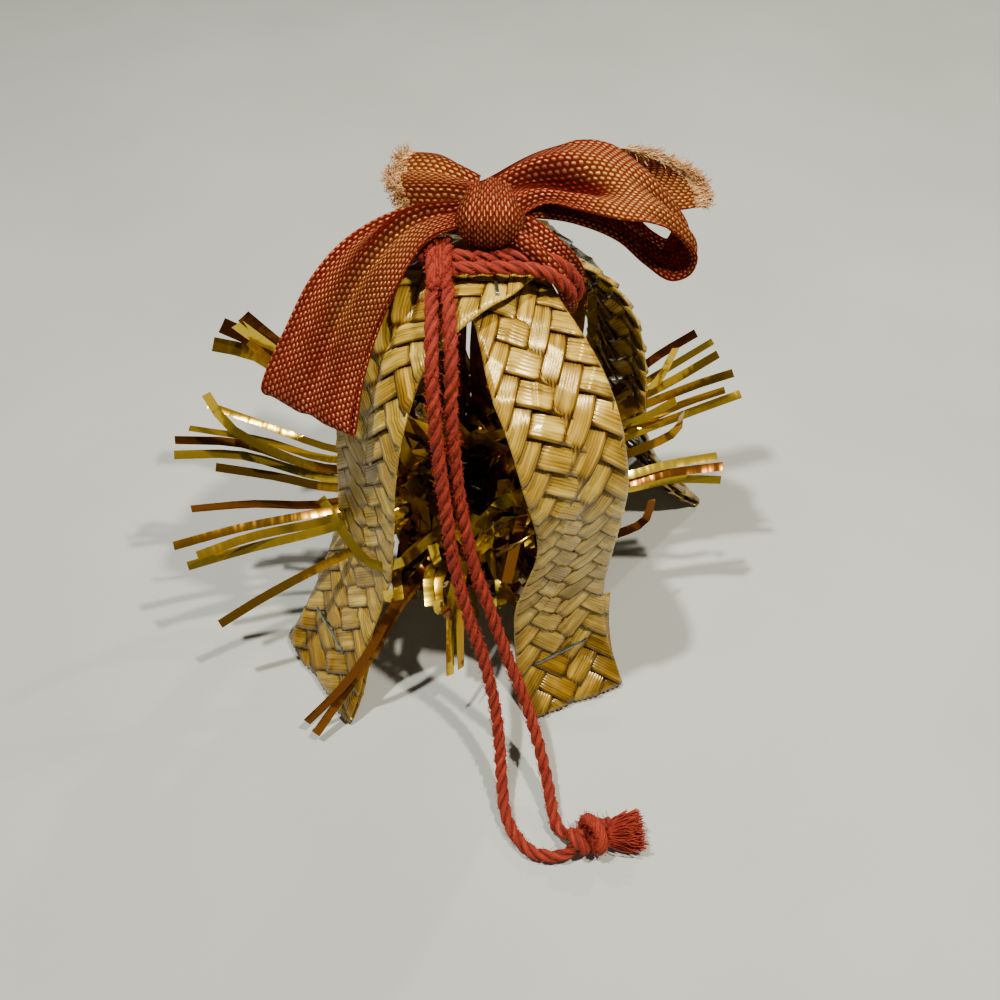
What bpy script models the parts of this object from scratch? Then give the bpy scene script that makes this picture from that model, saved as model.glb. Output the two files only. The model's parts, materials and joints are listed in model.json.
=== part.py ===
"""Plaited straw ornament: two crossed straw bands standing as a bell-shaped cage on four feet,
a ring of foil fringe inside, a ribbon bow and a twisted hanging cord round the neck.

Metres, +Z up. The floor is z = 0 and the front of the ornament looks along -Y."""
import math

import bmesh
import bpy
import numpy as np

MM = 0.001

# ---------------------------------------------------------------- driving dimensions, millimetres
# The cage's upright axis, measured from the middle of the whole ornament's footprint.
CAGE_AXIS = (9.83, 0.67, 0.0)

# Plaited straw band
SPLINTS = 7
BAND_WIDTH = 20.8
FOOT_FLARE = 1.4
# Both bands are drawn in by the neck wrap over the crossing; before it the upper one bulges out
# to the front, and the bulge has died away this far past the crossing.
CROWN_WIDTH = 16.2
UPPER_BULGE = 2.2
BULGE_END = 5.0
BULGE_FADE = 10.0
PINCH_START = 9.0
PINCH_REACH = 26.0
TURN_LENGTH = 30.0
STRAW_THICKNESS = 1.1
PILLOW = 0.32
EDGE_SCALLOP = 0.25
FOLD_LENGTH = 23.0
FOLD_THICKNESS = 1.4
CROSSING = (-2.3, 2.0)
CROSSING_PULL = (66.0, 86.0)
UPPER_CROWN = 89.9
LOWER_CROWN = 87.2

# Each leg: direction seen from above, degrees round from the front towards +X, then the
# distance from the axis and the height of the points that its centre line runs through.
LEGS = {
    "front_left": (-54.0, [(11, 89.2), (22, 83.4), (29, 74), (33, 62), (34.5, 50), (37, 34), (42, 22),
                           (49, 9), (54.5, 1.2), (57, -2.5)]),
    "back_right": (122.0, [(11, 89.4), (19, 83.4), (24, 74), (27, 62), (29, 48), (32, 34), (38, 22),
                           (46, 9), (53, 1.2), (56, -2.5)]),
    "front_right": (22.0, [(11, 86.2), (22, 81), (29.5, 74), (33.5, 62), (33, 50), (31, 34), (30, 22),
                           (34, 9), (42.5, 1.2), (46, -2.5)]),
    "back_left": (221.0, [(11, 86.2), (21, 81.5), (28, 74), (32, 62), (33, 48), (33, 34), (35, 22),
                          (39, 9), (45.5, 1.2), (48.5, -2.5)]),
}

# Office staples: a flat wire with a 12.7 mm crown
STAPLE_CROWN = 12.7
STAPLE_WIDTH = 0.7
STAPLE_THICKNESS = 0.45
STAPLE_BEND = 0.04
CLEARANCE = 0.38
FOOT_STAPLE_PLACE = 0.55

# Foil garland
RING_RADIUS = 15.0
RING_TUBE = 6.0
RING_HEIGHT = 37.0
RING_SEGMENTS = 44
RING_SIDES = 8
RING_RUFFLE = 0.13
OUTER_ROWS = {7: 0.0, 0: 0.5, 1: 1.0}
TUFT_ROW = 3
TUFT_RISE = 9.0
STRIP_WIDTH = 1.8
STRIP_THICKNESS = 0.5
GATE_RADIUS = 29.0
GATE_LIFT = 0.35
GATE_PINCH = 0.8
TIP_UNEVENNESS = 0.07
TUFT_TURN = 9.0

# Ribbon
RIBBON_THICKNESS = 0.7
WRAP_WIDTH = 5.4
WRAP_THICKNESS = 1.2

# Cord
CORD = 2.8
CORD_STEP = 2.8 * CORD
CORD_CREST = 93.3

# Steps between two given points when a curve is drawn through them
CURVE_STEPS = 20


# ---------------------------------------------------------------- curves and frames
def smooth_path(points, count):
    """A smooth curve through the points, read at evenly spaced places."""
    pts = np.asarray(points, float)
    pts = np.vstack([2 * pts[0] - pts[1], pts, 2 * pts[-1] - pts[-2]])
    dense = []
    for p0, p1, p2, p3 in zip(pts, pts[1:], pts[2:], pts[3:]):
        gaps = [np.linalg.norm(p1 - p0), np.linalg.norm(p2 - p1), np.linalg.norm(p3 - p2)]
        t0, t1, t2, t3 = np.cumsum([0.0] + [gap ** 0.5 for gap in gaps])
        t = np.linspace(t1, t2, CURVE_STEPS, endpoint=False)[:, None]
        a1 = ((t1 - t) * p0 + (t - t0) * p1) / (t1 - t0)
        a2 = ((t2 - t) * p1 + (t - t1) * p2) / (t2 - t1)
        a3 = ((t3 - t) * p2 + (t - t2) * p3) / (t3 - t2)
        b1 = ((t2 - t) * a1 + (t - t0) * a2) / (t2 - t0)
        b2 = ((t3 - t) * a2 + (t - t1) * a3) / (t3 - t1)
        dense.append(((t2 - t) * b1 + (t - t1) * b2) / (t2 - t1))
    return evenly(np.vstack(dense + [pts[-2][None]]), count)


def evenly(path, count):
    steps = np.linalg.norm(np.diff(path, axis=0), axis=1)
    along = np.concatenate([[0.0], np.cumsum(steps)])
    wanted = np.linspace(0, along[-1], count)
    return np.stack([np.interp(wanted, along, path[:, k]) for k in range(path.shape[1])], axis=1)


def path_length(path):
    return float(np.linalg.norm(np.diff(path, axis=0), axis=1).sum())


def unit(vectors):
    return vectors / np.linalg.norm(vectors, axis=-1, keepdims=True)


def ease(t):
    t = np.clip(t, 0.0, 1.0)
    return t * t * (3 - 2 * t)


def heading(azimuth):
    """Level direction of an azimuth counted from the front towards +X."""
    a = math.radians(azimuth)
    return np.array([math.sin(a), -math.cos(a), 0.0])


# ---------------------------------------------------------------- objects and materials
def material(name, rgb, roughness, metallic=0.0):
    mat = bpy.data.materials.new(name)
    mat.use_nodes = True
    shader = mat.node_tree.nodes["Principled BSDF"]
    shader.inputs["Base Color"].default_value = (*rgb, 1.0)
    shader.inputs["Roughness"].default_value = roughness
    shader.inputs["Metallic"].default_value = metallic
    return mat


def add_object(name, mesh, mat, smooth_angle=None):
    obj = bpy.data.objects.new(name, mesh)
    bpy.context.collection.objects.link(obj)
    mesh.materials.append(mat)
    if smooth_angle is not None:
        mesh.shade_smooth()
        mesh.set_sharp_from_angle(angle=math.radians(smooth_angle))
    return obj


def to_mesh(name, bm, facing=True):
    """Scale a millimetre bmesh to metres about the ornament's own origin."""
    for vert in bm.verts:
        vert.co = [(c + shift) * MM for c, shift in zip(vert.co, CAGE_AXIS)]
    if facing:
        bmesh.ops.recalc_face_normals(bm, faces=bm.faces[:])
    mesh = bpy.data.meshes.new(name)
    bm.to_mesh(mesh)
    bm.free()
    return mesh


def loft(sections, closed=False):
    """A closed solid through rings of points; its ends are capped unless the rings close up."""
    bm = bmesh.new()
    rings = [[bm.verts.new(p) for p in ring] for ring in sections]
    pairs = list(zip(rings, rings[1:]))
    if closed:
        pairs.append((rings[-1], rings[0]))
    for ring, following in pairs:
        for k in range(len(ring)):
            n = (k + 1) % len(ring)
            bm.faces.new((ring[k], ring[n], following[n], following[k]))
    if not closed:
        bm.faces.new(rings[0][::-1])
        bm.faces.new(rings[-1])
    return bm


def fuse(target, tools):
    """Boolean-join the tools into the target and drop them."""
    for tool in tools:
        join = target.modifiers.new("join", "BOOLEAN")
        join.operation = "UNION"
        join.solver = "EXACT"
        join.object = tool
        bpy.context.view_layer.update()
        joined = target.evaluated_get(bpy.context.evaluated_depsgraph_get())
        mesh = bpy.data.meshes.new_from_object(joined)
        target.modifiers.clear()
        target.data = mesh
        bpy.data.objects.remove(tool)


# ---------------------------------------------------------------- plaited bands
def leg_line(name):
    """Centre line of a leg from the crown down; its upper part leans over to the crossing."""
    azimuth, profile = LEGS[name]
    out = heading(azimuth)
    low, high = CROSSING_PULL
    points = []
    for reach, height in profile:
        lean = ease((height - low) / (high - low))
        x = out[0] * reach + CROSSING[0] * lean
        y = out[1] * reach + CROSSING[1] * lean
        points.append([x, y, height])
    return points


class Band:
    """Centre line of a band from its first foot over the crown to its second, with its frames."""

    def __init__(self, first, second, crown, bulge):
        points = leg_line(first)[::-1] + [[*CROSSING, crown]] + leg_line(second)
        rough = smooth_path(points, 400)
        self.pitch = BAND_WIDTH / SPLINTS
        self.columns = round(path_length(rough) / self.pitch)
        self.line = evenly(rough, self.columns + 1)
        self.tangent = unit(np.gradient(self.line, axis=0))
        from_crossing = np.linalg.norm(self.line[:, :2] - np.array(CROSSING), axis=1)
        self.top = int(np.argmin(from_crossing))
        travelled = (np.arange(self.columns + 1) - self.top) * self.pitch
        turn = ease(travelled / TURN_LENGTH + 0.5)[:, None]
        travel = unit(-heading(LEGS[first][0]) * (1 - turn) + heading(LEGS[second][0]) * turn)
        side = np.cross([0.0, 0.0, 1.0], travel)
        side = unit(side - (side * self.tangent).sum(axis=1, keepdims=True) * self.tangent)
        self.side = side
        self.normal = unit(np.cross(self.tangent, side))
        free = ease((from_crossing - PINCH_START) / (PINCH_REACH - PINCH_START))
        fuller = bulge * (1 - free) * ease((BULGE_END - travelled) / BULGE_FADE)
        self.width = CROWN_WIDTH + (BAND_WIDTH - CROWN_WIDTH) * free + fuller
        self.width += FOOT_FLARE * ease(1 - self.line[:, 2] / FOLD_LENGTH)
        self.line = self.line - side * fuller[:, None] / 2
        self.first_floor = self.floor_column(range(self.columns + 1))
        self.last_floor = self.floor_column(range(self.columns, -1, -1))

    def floor_column(self, columns):
        return next(i for i in columns if self.line[i][2] > 0)

    def is_folded(self, i):
        tip = min(i - self.first_floor, self.last_floor - i)
        return tip * self.pitch < FOLD_LENGTH

    def point(self, i, across, lift):
        return self.line[i] + self.side[i] * across + self.normal[i] * lift


def is_float_ridge(i, j, outside):
    """True where the two cell middles of this lattice square lie on one floating splint."""
    rising = (i + j) % 2 == 1
    return j % 2 == 0 and rising == ((j % 4 == 0) == outside)


def plaited_band(name, band, mat):
    """A herringbone plait: cell middles stand proud, and two cells in a row share one splint."""
    bm = bmesh.new()
    half = STRAW_THICKNESS / 2
    outer = []
    inner = []
    for i in range(band.columns + 1):
        outer_row = []
        inner_row = []
        for j in range(SPLINTS + 1):
            middle = (i + j) % 2 == 1
            across = (j / SPLINTS - 0.5) * band.width[i]
            if middle and j in (0, SPLINTS):
                across += math.copysign(EDGE_SCALLOP, across)
            rise = PILLOW if middle else 0.0
            fold = FOLD_THICKNESS if band.is_folded(i) else 0.0
            outer_row.append(bm.verts.new(band.point(i, across, half + rise)))
            inner_row.append(bm.verts.new(band.point(i, across, -half - rise - fold)))
        outer.append(outer_row)
        inner.append(inner_row)
    for i in range(band.columns):
        for j in range(SPLINTS):
            for rows, outside in ((outer, True), (inner, False)):
                a, b, c, d = rows[i][j], rows[i + 1][j], rows[i + 1][j + 1], rows[i][j + 1]
                middles_rise = (i + j) % 2 == 1
                split_rising = middles_rise == is_float_ridge(i, j, outside)
                halves = ((a, b, c), (a, c, d)) if split_rising else ((a, b, d), (b, c, d))
                for corner in halves:
                    bm.faces.new(corner if outside else corner[::-1])
        for j in (0, SPLINTS):
            edge = (outer[i][j], inner[i][j], inner[i + 1][j], outer[i + 1][j])
            bm.faces.new(edge if j == 0 else edge[::-1])
    for i in (0, band.columns):
        cap = outer[i] + inner[i][::-1]
        bm.faces.new(cap if i == 0 else cap[::-1])
    cut = bmesh.ops.bisect_plane(bm, geom=bm.verts[:] + bm.edges[:] + bm.faces[:],
                                 plane_co=(0, 0, 0), plane_no=(0, 0, -1), clear_outer=True)
    rim = [e for e in cut["geom_cut"] if isinstance(e, bmesh.types.BMEdge)]
    bmesh.ops.edgeloop_fill(bm, edges=rim)
    return add_object(name, to_mesh(name, bm), mat)


# ---------------------------------------------------------------- staples
def staple(name, band, column, across, slant, mat):
    """The crown of a staple lying on the band; slant is its angle from straight across."""
    i = round(column)
    a = math.radians(slant)
    along = band.side[i] * math.cos(a) + band.tangent[i] * math.sin(a)
    beside = np.cross(band.normal[i], along)
    lift = STRAW_THICKNESS / 2 + PILLOW + CLEARANCE
    middle = band.point(i, across, lift) + band.tangent[i] * (column - i) * band.pitch
    shoulder = 0.5 - STAPLE_BEND
    sections = []
    for place, high in ((-0.5, 0.55), (-shoulder, 1.0), (shoulder, 1.0), (0.5, 0.55)):
        centre = middle + along * place * STAPLE_CROWN
        ring = []
        for s, up in ((-0.5, 0.0), (0.5, 0.0), (0.5, high), (-0.5, high)):
            ring.append(centre + beside * s * STAPLE_WIDTH + band.normal[i] * up * STAPLE_THICKNESS)
        sections.append(ring)
    return add_object(name, to_mesh(name, loft(sections)), mat)


# ---------------------------------------------------------------- foil garland
# Each fan of foil leaves the cage between two legs: the gate's middle and half width, then how
# wide the tips spread, how far they reach, and the height of the lowest and highest tips.
FANS = {
    "left": ((-97.0, 14.0), (-84.0, 24.0), 72.0, (26.0, 62.0)),
    "right": ((72.0, 22.0), (84.0, 27.0), 50.0, (30.0, 62.0)),
    "front": ((-15.0, 12.0), (-20.0, 20.0), 34.0, (5.0, 30.0)),
    "back": ((171.0, 22.0), (168.0, 30.0), 44.0, (24.0, 52.0)),
}


def foil_section(centre, run):
    side = unit(np.cross([0.0, 0.0, 1.0], run))
    up = unit(np.cross(run, side))
    ring = []
    for s, t in ((-0.5, -0.5), (0.5, -0.5), (0.5, 0.5), (-0.5, 0.5)):
        ring.append(centre + side * s * STRIP_WIDTH + up * t * STRIP_THICKNESS)
    return ring


def ring_face_corners(segment, row):
    """Corners of one facet of the ring, anticlockwise seen from outside."""
    corners = []
    for ds, dr in ((0, 0), (1, 0), (1, 1), (0, 1)):
        around = 360.0 * (segment + ds) / RING_SEGMENTS
        tube = 2 * math.pi * (row + dr - 0.5) / RING_SIDES
        ruffle = RING_TUBE * (1 + RING_RUFFLE * (-1) ** (segment + ds + row + dr))
        out = RING_RADIUS + ruffle * math.cos(tube)
        corners.append(heading(around) * out + np.array([0, 0, RING_HEIGHT + ruffle * math.sin(tube)]))
    return corners


def strip_sections(segment, row):
    """Centre points of the strip that grows from a facet, or None where no strip grows."""
    azimuth = 360.0 * (segment + 0.5) / RING_SEGMENTS
    if row == TUFT_ROW and segment % 2 == 0:
        lean = RING_RADIUS - RING_TUBE * (0.6 + 0.3 * (segment % 4 == 0))
        return [heading(azimuth + TUFT_TURN) * lean + np.array([0, 0, RING_HEIGHT + TUFT_RISE])]
    if row not in OUTER_ROWS:
        return None
    for gate, tips, reach, (low, high) in FANS.values():
        off = (azimuth - gate[0] + 180.0) % 360.0 - 180.0
        if abs(off) > gate[1]:
            continue
        level = OUTER_ROWS[row]
        tip_azimuth = tips[0] + tips[1] * off / gate[1]
        height = low + (high - low) * level
        uneven = 1.0 - TIP_UNEVENNESS * ((segment * 5 + row * 3) % 4)
        tip = heading(tip_azimuth) * reach * uneven + np.array([0, 0, height])
        gate_height = RING_HEIGHT + GATE_LIFT * (height - RING_HEIGHT) + 1.5 * (level - 0.5)
        through = heading(gate[0] + off * GATE_PINCH) * GATE_RADIUS + np.array([0, 0, gate_height])
        return [through, tip]
    return None


def foil_garland(name, mat):
    """A twisted core ring with cut foil strips growing from its facets between the legs."""
    bm = bmesh.new()
    ring = []
    for segment in range(RING_SEGMENTS):
        ring.append([bm.verts.new(ring_face_corners(segment, row)[0]) for row in range(RING_SIDES)])
    for segment in range(RING_SEGMENTS):
        after = (segment + 1) % RING_SEGMENTS
        for row in range(RING_SIDES):
            up = (row + 1) % RING_SIDES
            base = [ring[segment][row], ring[after][row], ring[after][up], ring[segment][up]]
            centres = strip_sections(segment, row)
            if centres is None:
                bm.faces.new(base)
                continue
            start = np.mean([np.array(v.co) for v in base], axis=0)
            line = [start] + centres
            for k in range(1, len(line)):
                section = [bm.verts.new(p) for p in foil_section(line[k], line[k] - line[k - 1])]
                for c in range(4):
                    n = (c + 1) % 4
                    bm.faces.new((base[c], base[n], section[n], section[c]))
                base = section
            bm.faces.new(base)
    return add_object(name, to_mesh(name, bm, facing=False), mat)


# ---------------------------------------------------------------- ribbon bow
# Pairs of points on the near and far selvedge, from the knot outwards.
LEFT_LOOP = [
    ((-6.6, 1.0, 98.8), (-7.0, 7.4, 99.4)),
    ((-14.0, -3.4, 98.0), (-18.2, 4.8, 99.2)),
    ((-19.2, -9.4, 93.2), (-26.4, -1.2, 95.2)),
    ((-23.6, -13.8, 85.8), (-32.4, -7.2, 89.9)),
    ((-25.8, -17.6, 80.2), (-36.8, -11.8, 84.4)),
    ((-27.9, -25.3, 72.8), (-44.2, -17.2, 75.6)),
    ((-27.2, -25.0, 71.6), (-43.0, -16.6, 74.0)),
    ((-25.0, -16.9, 78.8), (-35.8, -11.2, 82.9)),
    ((-22.6, -12.6, 84.4), (-31.2, -6.4, 88.4)),
    ((-18.4, -8.2, 91.6), (-25.2, -0.4, 93.7)),
    ((-13.6, -2.8, 96.8), (-16.2, 5.0, 97.6)),
    ((-6.6, 1.6, 97.2), (-7.0, 7.4, 97.6)),
]
RIGHT_LOOP = [
    ((0.6, 2.5, 98.0), (-3.6, 11.6, 100.0)),
    ((6.7, 5.0, 98.8), (4.0, 17.4, 100.8)),
    ((13.0, 2.6, 98.8), (11.0, 19.2, 102.6)),
    ((19.0, 1.0, 98.8), (17.8, 18.8, 102.8)),
    ((25.6, 1.6, 97.8), (24.8, 18.2, 99.8)),
    ((31.2, 2.6, 94.8), (30.4, 17.2, 94.0)),
    ((35.0, 3.4, 89.2), (33.6, 17.2, 87.4)),
    ((33.9, 3.0, 85.4), (31.6, 17.3, 83.9)),
    ((30.4, 2.9, 84.2), (27.8, 17.9, 86.8)),
    ((25.6, 5.0, 86.0), (22.8, 18.6, 89.8)),
    ((20.4, 7.2, 89.4), (17.0, 18.2, 91.6)),
    ((12.6, 7.2, 93.0), (9.6, 15.4, 94.0)),
    ((6.0, 6.0, 95.6), (4.4, 11.6, 96.4)),
    ((0.0, 4.5, 96.6), (-1.0, 9.5, 97.4)),
]
LEFT_TAIL = [
    ((-6.4, 6.0, 98.6), (-6.0, 12.0, 98.8)),
    ((-11.0, 6.4, 98.6), (-10.6, 16.4, 99.6)),
    ((-16.4, 7.4, 98.8), (-15.4, 20.0, 100.2)),
    ((-21.2, 9.0, 98.8), (-20.2, 21.0, 100.4)),
]
RIGHT_TAIL = [
    ((-1.0, 9.0, 97.0), (-2.6, 12.4, 98.2)),
    ((8.5, 18.8, 95.5), (6.0, 22.0, 99.6)),
    ((18.2, 21.2, 91.8), (13.5, 24.0, 99.0)),
    ((29.2, 23.3, 88.2), (21.5, 24.8, 98.4)),
    ((36.2, 22.3, 86.0), (29.1, 25.3, 98.2)),
    ((41.5, 23.8, 83.2), (35.9, 22.1, 97.6)),
]
KNOT_CENTRE = (-3.0, 5.4, 98.4)
KNOT_SIZE = (10.8, 10.6, 7.6)
NECK_WRAP = [(-3.0, 4.0, 97.2), (6.0, 2.0, 96.8), (12.4, 0.2, 93.6), (16.6, -0.6, 89.0),
             (17.3, -0.6, 84.0),
             (13.6, 1.2, 78.6), (3.0, 2.8, 77.2), (-11.0, 3.6, 77.0), (-22.2, 4.2, 79.6), (-25.8, 4.4, 87.0),
             (-22.0, 4.6, 93.2), (-12.0, 4.8, 96.6)]


def ribbon_strip(name, edges, count, mat):
    """A flat woven strip between two selvedges, given its thickness along its own normal."""
    near = smooth_path([pair[0] for pair in edges], count)
    far = smooth_path([pair[1] for pair in edges], count)
    middle = (near + far) / 2
    run = unit(np.gradient(middle, axis=0))
    normal = unit(np.cross(run, unit(far - near))) * RIBBON_THICKNESS / 2
    sections = [(n - v, f - v, f + v, n + v) for n, f, v in zip(near, far, normal)]
    return add_object(name, to_mesh(name, loft(sections)), mat)


def wrap_ring(name, mat):
    """The gathered ribbon round the neck, a flat closed ring."""
    loop = NECK_WRAP + NECK_WRAP[:3]
    path = smooth_path(loop, 43)
    start = len(path) // (len(loop) - 1)
    path = path[start:start + 34]
    centre = path.mean(axis=0)
    sections = []
    for k, p in enumerate(path):
        run = unit(path[(k + 1) % len(path)] - path[k - 1])
        out = p - centre
        out = unit(out - run * out.dot(run))
        wide = np.cross(run, out) * WRAP_WIDTH / 2
        thick = out * WRAP_THICKNESS / 2
        sections.append((p - wide - thick, p + wide - thick, p + wide + thick, p - wide + thick))
    return add_object(name, to_mesh(name, loft(sections, closed=True)), mat)


def ribbon_knot(name, mat):
    """The knot: a rounded block, fuller at the front, with the wrap's pleats across it."""
    bm = bmesh.new()
    bmesh.ops.create_uvsphere(bm, u_segments=16, v_segments=9, radius=0.5)
    for vert in bm.verts:
        boxy = [math.copysign(abs(c * 2) ** 0.62 / 2, c) for c in vert.co]
        pleat = 1.0 + 0.03 * math.cos(9 * vert.co[0] * math.pi)
        vert.co = [m + b * s * pleat for m, b, s in zip(KNOT_CENTRE, boxy, KNOT_SIZE)]
    return add_object(name, to_mesh(name, bm), mat)


def ribbon_bow(name, mat):
    """Loops, tails and neck wrap of one ribbon, drawn together in the knot."""
    bow = ribbon_knot(name, mat)
    fuse(bow, [
        wrap_ring("wrap", mat),
        ribbon_strip("left_loop", LEFT_LOOP, 26, mat),
        ribbon_strip("right_loop", RIGHT_LOOP, 31, mat),
        ribbon_strip("left_tail", LEFT_TAIL, 6, mat),
        ribbon_strip("right_tail", RIGHT_TAIL, 9, mat),
    ])
    return bow


# ---------------------------------------------------------------- cord
# Routes of the two hanging strands from the hitch over the shoulder of the cage to the floor.
STRAND_LEFT = [(-13.8, -9.3, 91.9), (-13.7, -14.5, 90.0), (-13.5, -21.1, 85.7), (-13.2, -26.1, 78.2),
               (-12.4, -29.6, 69.0), (-11.3, -32.9, 58.0), (-10.1, -36.0, 47.0), (-7.7, -39.5, 36.0),
               (-4.6, -43.6, 26.0), (-2.5, -48.5, 17.5), (-1.4, -54.3, 10.3), (-0.9, -60.5, 5.4),
               (-0.1, -66.0, 2.8), (2.3, -70.6, 1.9), (5.6, -73.5, 1.7), (9.6, -74.2, 1.7)]
STRAND_RIGHT = [(-10.3, -9.0, 92.2), (-9.9, -14.5, 90.7), (-9.6, -21.0, 86.1), (-9.8, -24.7, 78.2),
                (-9.4, -27.9, 69.0), (-8.4, -31.2, 58.0), (-6.5, -34.6, 47.0), (-3.2, -38.5, 36.0),
                (0.2, -43.0, 26.0), (3.8, -48.0, 17.5), (6.6, -54.0, 10.3), (8.5, -60.3, 5.4),
                (9.4, -65.2, 3.3), (10.3, -68.9, 2.5)]
WRAP_TURNS = [
    [(-12.6, -5.4, CORD_CREST), (-4.0, -5.2, CORD_CREST), (4.0, -5.4, CORD_CREST), (8.2, -5.2, 91.7),
     (11.3, -4.7, 88.4), (11.8, -4.0, 85.4), (9.8, -2.0, 83.0), (4.0, 0.4, 82.6), (-6.0, 2.2, 82.6),
     (-15.0, 3.4, 82.8), (-19.0, 3.6, 86.0), (-18.4, 3.2, 90.4), (-15.2, -1.4, 93.3)],
    [(-12.6, -2.2, CORD_CREST + 0.2), (-4.0, -2.0, CORD_CREST + 0.2), (4.0, -2.2, CORD_CREST + 0.2),
     (8.7, -2.3, 92.4), (12.6, -1.8, 89.2), (14.2, -1.3, 85.4), (12.0, 0.6, 81.4), (4.0, 3.0, 80.4),
     (-6.0, 4.6, 80.4), (-17.4, 5.0, 80.9), (-22.2, 4.4, 86.0), (-20.2, 4.2, 91.4), (-15.8, 1.8, 93.5)],
]
HITCH = [(-12.4, 0.6, 93.2), (-12.5, -2.4, 93.5), (-12.4, -5.6, 93.7), (-12.1, -8.8, 92.5)]
HITCH_RADII = (1.8, 2.3, 2.8, 2.3)
KNOT_LINE = [(10.9, -71.6, 3.0), (12.4, -71.5, 3.5), (14.4, -71.2, 4.4), (16.8, -70.8, 4.6),
             (19.0, -70.4, 3.9), (20.6, -70.2, 3.3), (23.4, -69.9, 3.6), (27.6, -69.6, 3.9)]
KNOT_RADII = (1.5, 2.9, 4.2, 4.4, 3.5, 2.5, 3.3, 3.8)


def cord_tube(name, route, mat):
    """A free strand: a round tube on a smooth line through its route."""
    rough = smooth_path(route, 200)
    path = evenly(rough, max(4, round(path_length(rough) / CORD_STEP) + 1))
    curve = bpy.data.curves.new(name, "CURVE")
    curve.dimensions = "3D"
    curve.bevel_depth = CORD / 2 * MM
    curve.bevel_resolution = 2
    curve.use_fill_caps = True
    spline = curve.splines.new("POLY")
    spline.points.add(len(path) - 1)
    for point, place in zip(spline.points, path):
        point.co = (*[(c + shift) * MM for c, shift in zip(place, CAGE_AXIS)], 1.0)
    obj = bpy.data.objects.new(name, curve)
    bpy.context.collection.objects.link(obj)
    curve.materials.append(mat)
    return obj


def swept_solid(name, path, radii, sides, mat, closed=False, lobes=0, depth=0.0):
    """A solid swept along a path with a changing radius; lobes spiral round it like turns of cord."""
    sections = []
    count = len(path)
    run = unit(np.gradient(path, axis=0))
    if closed:
        run = unit(np.roll(path, -1, axis=0) - np.roll(path, 1, axis=0))
    side = unit(np.cross(run[0], [0.0, 0.3, 1.0]))
    for k in range(count):
        side = unit(side - run[k] * side.dot(run[k]))
        up = np.cross(run[k], side)
        ring = []
        for s in range(sides):
            a = 2 * math.pi * s / sides
            r = radii[k] * (1 + depth * math.cos(lobes * a + 1.3 * k))
            ring.append(path[k] + side * r * math.cos(a) + up * r * math.sin(a))
        sections.append(ring)
    return add_object(name, to_mesh(name, loft(sections, closed)), mat, smooth_angle=50)


def cord_neck_wrap(name, mat):
    """Two turns of the cord round the neck and the hitch that the hanging strands leave."""
    count = 24
    turns = []
    for k, route in enumerate(WRAP_TURNS):
        path = smooth_path(route + route[:2], 60)
        lap = int(np.argmin(np.linalg.norm(path[40:] - path[0], axis=1))) + 40
        path = evenly(path[:lap + 1], count + 1)[:-1]
        turns.append(swept_solid(f"turn_{k}", path, [CORD / 2] * count, 7, mat, closed=True))
    hitch_path = smooth_path(HITCH, 6)
    hitch_radii = np.interp(np.linspace(0, 1, 6), np.linspace(0, 1, 4), HITCH_RADII)
    wrap = swept_solid(name, hitch_path, hitch_radii, 8, mat)
    fuse(wrap, turns)
    return wrap


def cord_end_knot(name, mat):
    """Overhand knot in both strands, with the short frayed ends beyond it."""
    count = 13
    path = smooth_path(KNOT_LINE, count)
    radii = np.interp(np.linspace(0, 1, count), np.linspace(0, 1, len(KNOT_RADII)), KNOT_RADII)
    radii = np.minimum(radii, path[:, 2] - 0.1)
    return swept_solid(name, path, radii, 10, mat, lobes=3, depth=0.06)


# ---------------------------------------------------------------- the ornament
def build():
    for old in list(bpy.data.objects):
        bpy.data.objects.remove(old)
    straw = material("plaited straw", (0.58, 0.39, 0.13), 0.42)
    steel = material("staple wire", (0.36, 0.37, 0.36), 0.35, 1.0)
    foil = material("gold foil", (0.66, 0.39, 0.05), 0.2, 1.0)
    taffeta = material("woven ribbon", (0.42, 0.09, 0.03), 0.45)
    cotton = material("twisted cord", (0.53, 0.06, 0.03), 0.85)

    upper = Band("front_left", "back_right", UPPER_CROWN, UPPER_BULGE)
    lower = Band("front_right", "back_left", LOWER_CROWN, 0.0)
    plaited_band("straw_band_upper", upper, straw)
    plaited_band("straw_band_lower", lower, straw)

    foot = round(FOLD_LENGTH * FOOT_STAPLE_PLACE / upper.pitch)
    staple("staple_front_left", upper, upper.first_floor + foot, 0.5, 8.0, steel)
    staple("staple_back_right", upper, upper.last_floor - foot, 0.0, -6.0, steel)
    staple("staple_front_right", lower, lower.first_floor + foot, 0.5, -8.0, steel)
    staple("staple_back_left", lower, lower.last_floor - foot, 0.0, 5.0, steel)
    staple("staple_crossing", upper, upper.top - 1.35, -3.1, 29.0, steel)

    foil_garland("foil_garland", foil)
    ribbon_bow("ribbon_bow", taffeta)
    cord_neck_wrap("cord_neck_wrap", cotton)
    cord_tube("cord_strand_left", STRAND_LEFT, cotton)
    cord_tube("cord_strand_right", STRAND_RIGHT, cotton)
    cord_end_knot("cord_end_knot", cotton)


build()
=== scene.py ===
"""Looks of the plaited straw ornament: woven straw splints, office staples, a garland of cut foil,
a woven ribbon bow with frayed ends, and a three-ply cotton cord.

Lengths here are millimetres about the cage's upright axis, as in the part's own source; place()
turns them into the frame's metres. The plaits, foil, ribbon and cords are computed as grids of
points, because their overlaps, pleats and twists can't be pulled out of a primitive."""

import json
import math

import bmesh
import bpy
import numpy as np
from mathutils import Matrix


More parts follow.
